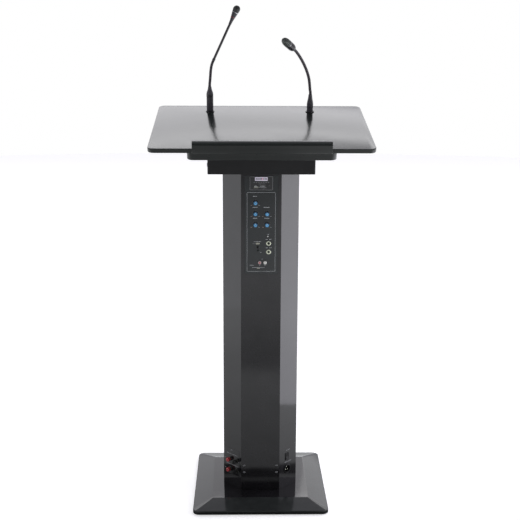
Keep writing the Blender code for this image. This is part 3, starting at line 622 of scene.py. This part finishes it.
def player():
    """Two frames on the flange and a display with two rows of blocks."""
    here = panel_spot(node_middle("player_module"))
    centre = here @ at(0, 12.8)
    face, glass, blocks = PLAYER_FACE, PLAYER_FACE + 0.35, PLAYER_FACE + 0.42
    mesh = bmesh.new()
    window_frame(mesh, (68, 40), (66.6, 38.6), 1.6, face, face + 0.25, here, 0)
    window_frame(mesh, (41, 14.4), (37.6, 11.2), 1.4, face, face + 0.8, centre, 1)
    piece("player_frames", mesh, [INK_DIM, SATIN_BLACK], "column")
    screen = bmesh.new()
    slab(screen, (38, 11.6), 0.8, face, glass, centre, 0, edge=0.1)
    dice = random.Random(7)
    for row in (-1.8, 1.7):
        for column in range(9):
            slot = 2 if column == 5 else 1
            bar(screen, (column - 4) * 3.7, row, 3.1, dice.uniform(2.3, 3.1), slot, centre, glass, blocks)
    piece("player_display", screen, [SCREEN, SCREEN_DARK, SCREEN_RED], "column")
    usb_socket(here)
    player_marks(here)


def usb_socket(here):
    mesh = bmesh.new()
    spot = here @ at(-16, -12)
    window_frame(mesh, (12.4, 4.8), (11.7, 4.1), 0.5, -7, PLAYER_FACE + 0.3, spot, 0)
    slab(mesh, (10, 1.5), 0.2, -9.5, PLAYER_FACE - 0.8, spot @ at(0, 1.0), 1, edge=0.2)
    piece("usb_socket", mesh, [PLATED, IVORY], "column")


def player_marks(here):
    mesh = bmesh.new()
    ink = (PLAYER_FACE + 0.01, PLAYER_FACE + 0.09)
    for column in range(7):
        bar(mesh, column * 7 - 21, 2.6, 3.6, 1.3, 0, here, *ink)
    for words in ((-16.5, -7.6, 6, 2.6, 1, 41), (2, -1.6, 20, 1.5, 0, 42), (3, -8.4, 15, 3.4, 1, 43),
                  (4, -12.6, 22, 2.2, 0, 44), (7, -17, 5, 1.5, 0, 45)):
        caption(mesh, *words, here, *ink)
    piece("player_marks", mesh, [INK_DIM, INK], "column")
    for index in (1, 2, 3):
        key = bmesh.new()
        place = panel_spot(node_middle(f"player_button_{index}"))
        slab(key, (6.2, 4.2), 0.9, -1, 3.4, place, 0, edge=0.6)
        bar(key, 0, 0, 2.2, 0.7, 1, place, 3.4, 3.46)
        piece(f"player_button_{index}_finish", key, [MOULDED, INK], f"player_button_{index}",
              [f"player_button_{index}"])


# Knobs, jacks and sockets

def knobs():
    """A dark skirt, a fluted blue cap with a dished lighter top, and a pale pointer."""
    for name in KNOBS:
        body = JOINTS[name]["child"]
        place = panel_spot(joint_place(name))
        mesh = bmesh.new()
        turned(mesh, [(3, -21), (3, 0.5), (6.4, 0.6), (6.6, 1.0), (6.6, 2.2), (6.0, 3.0)], place, 3, 96)
        turned(mesh, [(5.9, 2.9), (5.8, 10.2), (5.3, 11.4), (4.4, 11.8)], place, 0, 144, flutes(12, 0.9))
        turned(mesh, [(3.6, 11.6), (3.4, 12.0), (2.9, 11.85), (0.3, 11.6)], place, 1, 96)
        slab(mesh, (0.8, 3.8), 0.3, 11.5, 12.0, place @ at(0, 2.6), 2, edge=0.1)
        slab(mesh, (0.8, 0.5), 0.1, 3.4, 11.2, place @ at(0, 5.65), 2, corner_steps=1)
        piece(f"{body}_cap", mesh, [BLUE, BLUE_TOP, IVORY, MOULDED], body, [body])


def jacks():
    """A washer, a bright ring nut and a threaded sleeve round each bore, whose lining and floor are painted
    shade.
    """
    for index in (1, 2):
        place = panel_spot(node_middle(f"mic_jack_{index}"))
        mesh = bmesh.new()
        ring(mesh, [(5.0, 0.3), (7.2, 0.3), (7.2, 0.8), (6.9, 1.0), (5.0, 1.0)], place, 0, 64)
        ring(mesh, [(4.6, 0.9), (6.7, 0.9), (6.7, 2.0), (6.2, 2.6), (4.6, 2.6)],
             place @ rotation("Z", 15 * index), 0, 64, hexagon(0.55))
        ring(mesh, [(3.4, -16), (5.2, -16), (5.2, 0.3), (4.7, 0.4), (4.7, 2.7), (4.5, 3.0), (4.2, 3.0),
                    (3.8, 2.6)], place)
        # Painted shade: the bore's floor and lining
        turned(mesh, [(5.1, -20), (5.1, -15.9)], place, 1, 32)
        ring(mesh, [(3.25, -15.9), (3.45, -15.9), (3.75, 2.85), (3.5, 2.75)], place, 1, 32)
        piece(f"mic_jack_{index}_finish", mesh, [PLATED, PAINTED_HOLE_SHADE], "column", [f"mic_jack_{index}"])


def phono_sockets():
    """A flange, an outer shell and a coloured insulator round each bore, with a disc of painted shade at its
    floor.
    """
    for name, colour, shell, slot_name in (("rca_socket_red", RED, PINK, "red_plastic"),
                                           ("rca_socket_white", IVORY, IVORY, "white_plastic")):
        place = panel_spot(node_middle(name))
        mesh = bmesh.new()
        turned(mesh, [(3.5, -12), (3.5, 0.2), (4.6, 0.3), (4.6, 1.4), (4.2, 1.8)], place, 1)
        ring(mesh, [(2.7, 1.7), (4.0, 1.7), (4.0, 6.7), (3.8, 7.0), (2.9, 7.0), (2.7, 6.8)], place, 1)
        ring(mesh, [(1.5, 1.7), (2.75, 1.7), (2.75, 6.3), (2.6, 6.5), (1.6, 6.5), (1.5, 6.4)], place)
        turned(mesh, [(1.55, 1.7), (1.55, 2.2)], place, 2, 24)
        piece(f"{name}_finish", mesh, [colour, shell, PAINTED_HOLE_SHADE], "column", [name])


def indicator():
    place = panel_spot(node_middle("power_led"))
    mesh = bmesh.new()
    turned(mesh, [(2, -8.8), (2, 0.8), *dome(2, 0.9, 1.5)], place, 0, 32)
    ring(mesh, [(2.05, 0.02), (3.1, 0.02), (3.1, 0.35), (2.7, 0.6), (2.05, 0.6)], place, 1, 40)
    piece("power_led_finish", mesh, [LENS_CLEAR, SATIN_BLACK], "column", ["power_led"])


def slide_switch():
    place = panel_spot(node_middle("speaker_switch"))
    surround = bmesh.new()
    window_frame(surround, (10, 19), (4.9, 13.9), 1, 0.02, 0.6, place, 0)
    piece("slide_switch_surround", surround, [PANEL_PAINT], "column")
    lever = bmesh.new()
    slab(lever, (4, 6), 0.5, -8, 3.4, place, 0, edge=0.4)
    for step in (-2, 0, 2):
        slab(lever, (3.4, 0.7), 0.3, 3.2, 4.0, place @ at(0, step), 0, edge=0.3)
    piece("slide_switch_lever", lever, [MIC_BLACK], "speaker_switch", ["speaker_switch"])


# Speaker terminals, mains inlet and rocker

def terminals():
    """A thin plate with a round boss under each screw cap, and label strips."""
    plate = bmesh.new()
    slab(plate, (64, 86), 2, 0.02, TERMINAL_PLATE_TOP, LEFT_CHAMFER @ at(0, 110), 0, edge=0.3)
    for name in TERMINAL_CAPS:
        turned(plate, [(7.6, 0.4), (7.6, 1.9), (7.2, 2.3)], joint_frame(name), 1)
    piece("terminal_plate_finish", plate, [LACQUER, MOULDED], "column", ["terminal_plate"])
    mesh = bmesh.new()
    ink = (TERMINAL_PLATE_TOP + INK_LOW, TERMINAL_PLATE_TOP + INK_HIGH)
    for words in ((-14, 134.5, 22, 3.8, 0, 52), (10.5, 134.5, 21, 3.8, 0, 52), (-14.5, 99.5, 23, 3.8, 0, 53),
                  (13, 99.5, 26, 3.8, 0, 53), (-3, 147.6, 8, 3, 0, 51)):
        caption(mesh, *words, LEFT_CHAMFER, *ink)
    piece("terminal_labels", mesh, [LABEL], "column")
    for name in TERMINAL_CAPS:
        terminal_cap(JOINTS[name]["child"], joint_frame(name))


def terminal_cap(body, place):
    """A fluted screw cap on a plated collar, with the post's end and plug bore in its middle."""
    low = 2.6
    mesh = bmesh.new()
    turned(mesh, [(4.9, low), (4.9, low + 2.8), (5.4, low + 3.6)], place, 1, 48)
    ring(mesh, [(2.3, low + 3.5), (5.9, low + 3.5), (6.4, low + 4.2), (6.4, low + 11.6), (6.0, low + 12.6),
                (5.2, low + 13), (2.6, low + 13), (2.3, low + 12.6)], place, 0, 144, flutes(18, 0.5))
    ring(mesh, [(1.7, low + 5), (2.35, low + 5), (2.35, low + 12.4), (1.8, low + 12.6)], place, 1, 32)
    # A disc of painted shade at the floor of the plug bore
    turned(mesh, [(1.75, low + 5), (1.75, low + 6)], place, 2, 24)
    colour = RED if body.endswith("red") else MATT_BLACK
    piece(f"{body}_finish", mesh, [colour, PLATED, PAINTED_HOLE_SHADE], body, [body])


def mains_inlet():
    """A ringed flange and a cup with a key rib and three pins on insulators."""
    spot = RIGHT_CHAMFER @ at(-2.5, 86)
    mesh = bmesh.new()
    turned(mesh, [(0.5, -12), (10.5, -12), (10.5, 1.8), (10.9, 2.4), (11.6, 2.5), (12.2, 1.9), (12.8, 1.9),
                  (13.3, 2.5), (14.4, 2.4), (15.3, 1.8), (15.5, 0.9), (15.5, 0.3), (13, 0.25), (13, -20),
                  (0.5, -20)], spot, 0, 72)
    for index in range(3):
        angle = TURN / 4 + index * TURN / 3
        pin = spot @ at(5.2 * math.cos(angle), 5.2 * math.sin(angle))
        turned(mesh, [(1.7, -13), (1.7, -2.2), *dome(1.7, -2.2, 0.8, 5)], pin, 1, 24)
        turned(mesh, [(2.5, -12.1), (2.5, -11), (2.2, -10.6)], pin, 0, 24)
    slab(mesh, (2.6, 1.8), 0.3, -11, 0.5, spot @ at(0, -9.8), 0, edge=0.3)
    piece("power_inlet_finish", mesh, [MATT_BLACK, PLATED], "column", ["power_inlet"])


def mains_labels():
    mesh = bmesh.new()
    for words in ((1, 149, 15, 3, 0, 61), (1, 110, 30, 3, 0, 62)):
        caption(mesh, *words, RIGHT_CHAMFER)
    piece("mains_labels", mesh, [LABEL], "column")
    bezel = bmesh.new()
    spot = RIGHT_CHAMFER @ at(-4, 128)
    window_frame(bezel, (17, 24), (13.2, 21.2), 1.4, 0.02, 1.2, spot, 0)
    piece("rocker_bezel", bezel, [MATT_BLACK], "column")


# Grille over the speakers

def grille_cell(mesh, centre, pitch, hole, thick, place):
    """One square of the sheet with a round hole through it."""
    x, y = centre
    edge, rim, back = [], [], []
    for step in range(8):
        angle = TURN * step / 8
        cosine, sine = math.cos(angle), math.sin(angle)
        reach = pitch / 2 / max(abs(cosine), abs(sine))
        for verts, radius, height in ((edge, reach, thick), (rim, hole, thick), (back, hole, 0.6)):
            spot = Vector((x + radius * cosine, y + radius * sine, height)) * MM
            verts.append(mesh.verts.new(place @ spot))
    for step in range(8):
        after = (step + 1) % 8
        mesh.faces.new((edge[step], edge[after], rim[after], rim[step]))
        mesh.faces.new((rim[step], rim[after], back[after], back[step]))


def speaker_grille():
    pitch, hole, thick = 5.0, 1.65, 2.4
    columns, rows = 19, 57
    place = REAR @ Matrix.Translation((0, node_middle("speaker_grille").z, 0))
    mesh = bmesh.new()
    for column in range(columns):
        for row in range(rows):
            centre = ((column - (columns - 1) / 2) * pitch, (row - (rows - 1) / 2) * pitch)
            grille_cell(mesh, centre, pitch, hole, thick, place)
    bmesh.ops.remove_doubles(mesh, verts=mesh.verts, dist=0.01 * MM)
    window_frame(mesh, (106, 300), (columns * pitch - 0.2, rows * pitch - 0.2), 7, 0.3, 3.2, place)
    piece("speaker_grille_finish", mesh, [POWDER_COAT], "column", ["speaker_grille"])


# Microphones

def socket_place(side):
    return DESK @ at(side * MIC_X, MIC_UP)


def mic_sockets():
    for name, side in (("left", -1), ("right", 1)):
        place = socket_place(side)
        mesh = bmesh.new()
        turned(mesh, [(0.5, -26), (12, -26), (12, 0.2), (13.5, 0.3), (13.5, 1.6), (13.1, 2.2), (12.4, 2.5),
                      (11.2, 2.5), (10.5, 2.3), (9.8, 2.2), (9.8, -15.8), (0.5, -15.8)], place, 0, 72)
        for turn in (35, 145, 215, 325):
            spot = place @ rotation("Z", turn) @ at(12.2, 0, 2.4)
            turned(mesh, [(0.7, 0), (0.7, 0.2), (0.5, 0.3)], spot, 1, 16)
        piece(f"{name}_mic_socket_finish", mesh, [SATIN_BLACK, GREY_METAL], "desk", [f"{name}_mic_socket"])
        latch_tab(name, place @ at(0, -18.35))


def latch_tab(name, spot):
    """A press tab with three grip ribs."""
    mesh = bmesh.new()
    slab(mesh, (8, 5.5), 1.4, 0.3, 3.3, spot, 0, edge=0.9)
    for step in (-1, 0, 1):
        slab(mesh, (5, 0.5), 0.2, 3.1, 3.5, spot @ at(0, step * 1.2), 0, edge=0.15)
    piece(f"{name}_latch_finish", mesh, [SATIN_BLACK], f"{name}_latch", [f"{name}_latch_tab"])


def mic_plugs():
    left = bmesh.new()
    place = socket_place(-1)
    turned(left, [(9.4, -14), (9.5, 2.8), (10.5, 3.0), (10.6, 3.6), (10.6, 10), (10.1, 10.4), (10.1, 11.4),
                  (10.6, 11.8), (10.6, 45), (10.2, 45.4), (10.2, 46.4), (10.6, 46.8), (10.6, 58.5),
                  (10.2, 60.5), (9.2, 64), (7.2, 69.5), (6.0, 75), (5.4, 79.6), (4.8, 80.8)], place, 0, 64)
    ring(left, [(10.3, 47.4), (10.75, 47.6), (10.75, 57.4), (10.3, 57.8)], place, 1, 160, flutes(40, 0.25))
    piece("left_mic_plug_finish", left, [PLUG_BLACK, MOULDED], "desk", ["left_mic_plug"])
    right = bmesh.new()
    place = socket_place(1)
    turned(right, [(9.3, -14), (9.4, 2.8), (9.7, 3.2), (9.7, 9), (9.4, 9.4), (9.4, 10.4), (9.9, 10.8),
                   (10.1, 24), (9.9, 28), (9.3, 32), (8.0, 38), (6.9, 44), (6.2, 50), (5.6, 55.4),
                   (5.0, 56.8)], place, 0, 64)
    for step in range(3):
        low = 14 + 2.4 * step
        ring(right, [(9.4, low), (10.0, low + 0.4), (10.0, low + 1.2), (9.4, low + 1.6)], place, 1, 64)
    piece("right_mic_plug_finish", right, [PLUG_BLACK, MOULDED], "desk", ["right_mic_plug"])


def ribs(radius, pitch, depth):
    """The wound surface of a gooseneck."""
    return lambda travelled: radius - depth * abs(math.sin(math.pi * travelled / pitch)) ** 6


def split_path(path, point):
    """Cuts a path in two where it passes closest to a point."""
    index = min(range(len(path)), key=lambda number: (path[number] - point).length)
    return path[:index + 1], path[index:]


def gooseneck(name, points, cut, radius, pitch, nodes, segments=20):
    """Two wound lengths that meet at cut; each stands for one model node and rides on no body."""
    path = even_path(smooth_path(points), pitch / 6)
    for index, part in enumerate(split_path(path, cut)):
        mesh = bmesh.new()
        tube(mesh, part, ribs(radius, pitch, radius * 0.11), segments)
        made = piece(f"{name}_gooseneck_{index + 1}", mesh, [NECK_METAL], sharp=60)
        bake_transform(made)
        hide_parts(nodes[index])


def left_microphone():
    foot = joint_place("left_neck_lean")
    bend = joint_place("left_neck_bend")
    stem_way = (LEFT_HEAD_START - bend).normalized()
    lower_way = (bend - foot).normalized()
    stem_start = bend + stem_way * 20 * MM
    points = [foot - DESK_NORMAL * 4 * MM, foot + DESK_NORMAL * 5 * MM, foot.lerp(bend, 0.42),
              foot.lerp(bend, 0.78), bend.lerp(stem_start, 0.30) - lower_way * 1.5 * MM, stem_start]
    cut = foot.lerp(bend, 0.5)
    gooseneck("left", points, cut, 4.5 * MM, 2.1 * MM,
              ("left_neck_lower", "left_neck_upper"))
    place = aim(LEFT_HEAD_START, stem_way)
    run = (LEFT_HEAD_START - stem_start).length / MM
    stem = bmesh.new()
    turned(stem, [(4.1, -run - 3), (4.75, -run - 2.6), (4.75, -run + 3.5), (3.9, -run + 4.4), (3.9, 1),
                  (3.4, 1.2)], place, 0, 40)
    piece("left_stem", stem, [MIC_BLACK], "left_neck_top")
    left_head(place)


def basket(count, rows, depth, low, high):
    """A woven relief on a head: crossing diagonal wires between two heights."""
    def relief(angle, height):
        if not low < height < high:
            return 0.0
        rise = rows * TURN * (height - low) / (high - low)
        first = abs(math.sin((count * angle + rise) / 2))
        second = abs(math.sin((count * angle - rise) / 2))
        return -depth * first * second
    return relief


def left_head(place):
    """A slim cone with a red ring light, then a bright collar and a round basket."""
    length, radius = 63, 11.2
    mesh = bmesh.new()
    turned(mesh, [(4.1, 0.4), (4.4, 1.0), (4.6, 6), (5.2, 14), (6.9, 24), (8.6, 34), (9.5, 38.6)],
           place, 0, 56)
    ring(mesh, [(6.2, 22.6), (6.85, 22.8), (7.2, 25.0), (6.5, 25.2)], place, 1, 56)
    ring(mesh, [(8.9, 38.2), (9.7, 38.4), (10.0, 41.0), (9.2, 41.4)], place, 3, 56)
    steps = 46
    low, ball = 41, length - 11.8
    profile = [(9.8 + 1.4 * step / steps, low + (ball - low) * step / steps) for step in range(steps)]
    turned(mesh, profile + dome(radius, ball, 11.6, 22, 0.06), place, 2, 160,
           basket(26, 9, 0.45, low + 1, length - 2.5))
    piece("left_mic_head_finish", mesh, [MIC_BLACK, LENS_RED, MESH_BLACK, GREY_METAL], "left_neck_top",
          ["left_mic_head"], sharp=60)


def cubic(controls, t):
    """A point on the curve that four points control."""
    first, second, third, fourth = controls
    rest = 1 - t
    return first * rest ** 3 + second * 3 * t * rest ** 2 + third * 3 * t ** 2 * rest + fourth * t ** 3


def right_microphone():
    foot = joint_place("right_neck_lean")
    bend = joint_place("right_neck_bend")
    controls = (bend, RIGHT_RISE, RIGHT_HEAD_START - RIGHT_HEAD_WAY * 16 * MM, RIGHT_HEAD_START)
    curve = [cubic(controls, t) for t in (0.14, 0.28, 0.42, 0.56, 0.7, 0.84, 1.0)]
    points = [foot - DESK_NORMAL * 4 * MM, foot + DESK_NORMAL * 4 * MM, foot.lerp(bend, 0.5), bend, *curve]
    cut = foot.lerp(bend, 0.5)
    gooseneck("right", points, cut, 4.6 * MM, 2.4 * MM,
              ("right_neck_lower", "right_neck_upper"), 24)
    right_head(aim(RIGHT_HEAD_START, RIGHT_HEAD_WAY))


def right_head(place):
    """A rounded shell, a bright band and a longer oval basket."""
    length, radius = 56.5, 12.2
    mesh = bmesh.new()
    turned(mesh, [(4.8, 0.2), (5.3, 0.8), (6.9, 2.2), (9.1, 5.5), (10.7, 9.5), (11.6, 14), (11.9, 19),
                  (12.0, 25.4)], place, 0, 64)
    ring(mesh, [(11.2, 25.2), (12.0, 25.3), (12.2, 25.8), (12.2, 28.2), (12.0, 28.7), (11.2, 28.8)],
         place, 1, 64)
    steps = 24
    low, ball = 28.7, length - radius * 1.5
    profile = [(12.0 + 0.2 * math.sin(math.pi * step / steps), low + (ball - low) * step / steps)
               for step in range(steps)]
    turned(mesh, profile + dome(12.0, ball, radius * 1.48, 26, 0.06), place, 2, 176,
           basket(30, 7, 0.5, low + 0.8, length - 2.5))
    piece("right_mic_head_finish", mesh, [MIC_BLACK, GREY_METAL, MESH_GREY], "right_neck_top",
          ["right_mic_head"], sharp=60)


# Stage: floor, lights, surroundings and camera, in metres and degrees; the lens is in millimetres

CAMERA_PLACE = (-0.0546, -2.7767, 1.3341)
CAMERA_PAN = -1.101
CAMERA_DOWN = 11.873
CAMERA_ROLL = 0.212
CAMERA_LENS = 63.06


def product(tree, values):
    """All the values multiplied together."""
    result = values[0]
    for value in values[1:]:
        times = node(tree, "ShaderNodeMath", operation="MULTIPLY")
        tree.links.new(result, times.inputs[0])
        tree.links.new(value, times.inputs[1])
        result = times.outputs[0]
    return result


def separate(tree, coordinates):
    """The X and Y of a texture coordinate."""
    split = node(tree, "ShaderNodeSeparateXYZ")
    tree.links.new(coordinates, split.inputs["Vector"])
    return split.outputs["X"], split.outputs["Y"]


def painted_floor_shade(tree):
    """How bright the sweep looks in the lacquer, as painted light and shade: a painted shadow dark at the
    foot, brighter outwards and to the sides, dim past its front.
    """
    place = node(tree, "ShaderNodeTexCoord").outputs["Object"]
    length = node(tree, "ShaderNodeVectorMath", operation="LENGTH")
    tree.links.new(place, length.inputs[0])
    reach = length.outputs["Value"]
    x, y = separate(tree, place)
    # Each row: measure, start, end, level at the start, level at the end, and False where it's straight
    fades = ((reach, 0.30, 0.335, 0.10, 1), (reach, 0.36, 1.2, 0.68, 1.15, False), (reach, 1.2, 2.3, 1, 1.35),
             (x, 0.15, 0.45, 1, 1.6), (x, -0.45, -0.15, 1.15, 1), (y, -1.45, -1.25, 0.5, 1),
             (y, -3.1, -1.5, 1.5, 1, False), (y, -10, -3.1, 0.25, 1, False))
    level = product(tree, [fade(tree, *values) for values in fades])
    glow = node(tree, "ShaderNodeEmission", Color=(0.97, 0.985, 1.01, 1))
    tree.links.new(level, glow.inputs["Strength"])
    return glow.outputs["Emission"]


def show_camera(tree, seen, other, output):
    """Shows the camera one shader and every other ray another."""
    mix = node(tree, "ShaderNodeMixShader")
    tree.links.new(node(tree, "ShaderNodeLightPath").outputs["Is Camera Ray"], mix.inputs["Fac"])
    tree.links.new(other, mix.inputs[1])
    tree.links.new(seen, mix.inputs[2])
    tree.links.new(mix.outputs["Shader"], tree.nodes[output].inputs["Surface"])


def floor():
    """A white sweep; the camera sees it lit and evenly bright, and every other ray sees a painted shadow at
    its foot with painted light and shade beyond.
    """
    pale = surface("pale_floor", (0.84, 0.84, 0.84), 0.62, colour_spread=0.01, colour_scale=2,
                   rough_spread=0.05, constants={"Emission Color": (1, 1, 1, 1), "Emission Strength": 0.5})
    tree = pale.node_tree
    seen = tree.nodes["Principled BSDF"].outputs["BSDF"]
    show_camera(tree, seen, painted_floor_shade(tree), "Material Output")
    mesh = bmesh.new()
    bmesh.ops.create_circle(mesh, cap_ends=True, segments=96, radius=12)
    piece("floor", mesh, [pale])


def soft_light(name, place, target, size, radiance, tint=(1, 1, 1)):
    light = bpy.data.lights.new(name, "AREA")
    light.shape = "RECTANGLE"
    light.size, light.size_y = size
    light.energy = radiance * math.pi * size[0] * size[1]
    light.color = tint
    made = bpy.data.objects.new(name, light)
    made.location = place
    made.rotation_euler = (Vector(target) - Vector(place)).to_track_quat("-Z", "Y").to_euler()
    made.visible_camera = False
    bpy.context.scene.collection.objects.link(made)


def lights():
    """Softboxes: name, place, target, size, radiance and, where it isn't white, tint."""
    cool = (0.98, 0.96, 1.07)
    for values in (("left_softbox", (-2.3, -0.05, 0.45), (0, -0.05, 0.45), (1.9, 0.85), 0.27, cool),
                   ("right_softbox", (0.72, -0.05, 0.51), (0, -0.05, 0.51), (1.0, 0.9), 1.75, cool),
                   ("rear_softbox", (0, 7.7, 5.8), (0, 0, 1.17), (12, 3.1), 1.2),
                   ("rear_high_softbox", (0, 6.95, 6.9), (0, 0, 1.17), (12, 1.1), 1.25),
                   ("rear_low_softbox", (-0.3, 3.3, 1.5), (-0.3, 0, 1.5), (2.2, 1.1), 0.5),
                   ("rear_right_softbox", (0.95, 3.3, 1.5), (0, 0, 0), (1.1, 1.0), 0.85)):
        soft_light(*values)


def surroundings():
    """White where the camera sees past the floor; elsewhere a room that is dimmer in front."""
    world = bpy.data.worlds.new("studio")
    world.use_nodes = True
    tree = world.node_tree
    room = tree.nodes["Background"]
    room.inputs["Color"].default_value = (0.985, 0.97, 1.05, 1)
    depth = separate(tree, node(tree, "ShaderNodeTexCoord").outputs["Generated"])[1]
    tree.links.new(fade(tree, depth, -0.9, 0.3, 0.15, 0.72), room.inputs["Strength"])
    plain = node(tree, "ShaderNodeBackground", Color=(1, 1, 1, 1))
    show_camera(tree, plain.outputs["Background"], room.outputs["Background"], "World Output")
    bpy.context.scene.world = world


def camera():
    data = bpy.data.cameras.new("camera")
    data.sensor_width = 36
    data.lens = CAMERA_LENS
    made = bpy.data.objects.new("camera", data)
    made.matrix_world = (Matrix.Translation(CAMERA_PLACE) @ rotation("Z", CAMERA_PAN)
                         @ rotation("X", 90 - CAMERA_DOWN) @ rotation("Z", CAMERA_ROLL))
    bpy.context.scene.collection.objects.link(made)
    bpy.context.scene.camera = made
    bpy.context.scene.view_settings.view_transform = "Standard"


def build():
    camera()
    paint_model_nodes()
    base_plate()
    desk_top()
    support_board()
    ledge()
    column_fasteners()
    pivot_bolts()
    panel_print()
    player()
    knobs()
    jacks()
    phono_sockets()
    indicator()
    slide_switch()
    terminals()
    mains_inlet()
    mains_labels()
    speaker_grille()
    mic_sockets()
    mic_plugs()
    left_microphone()
    right_microphone()
    floor()
    lights()
    surroundings()


build()
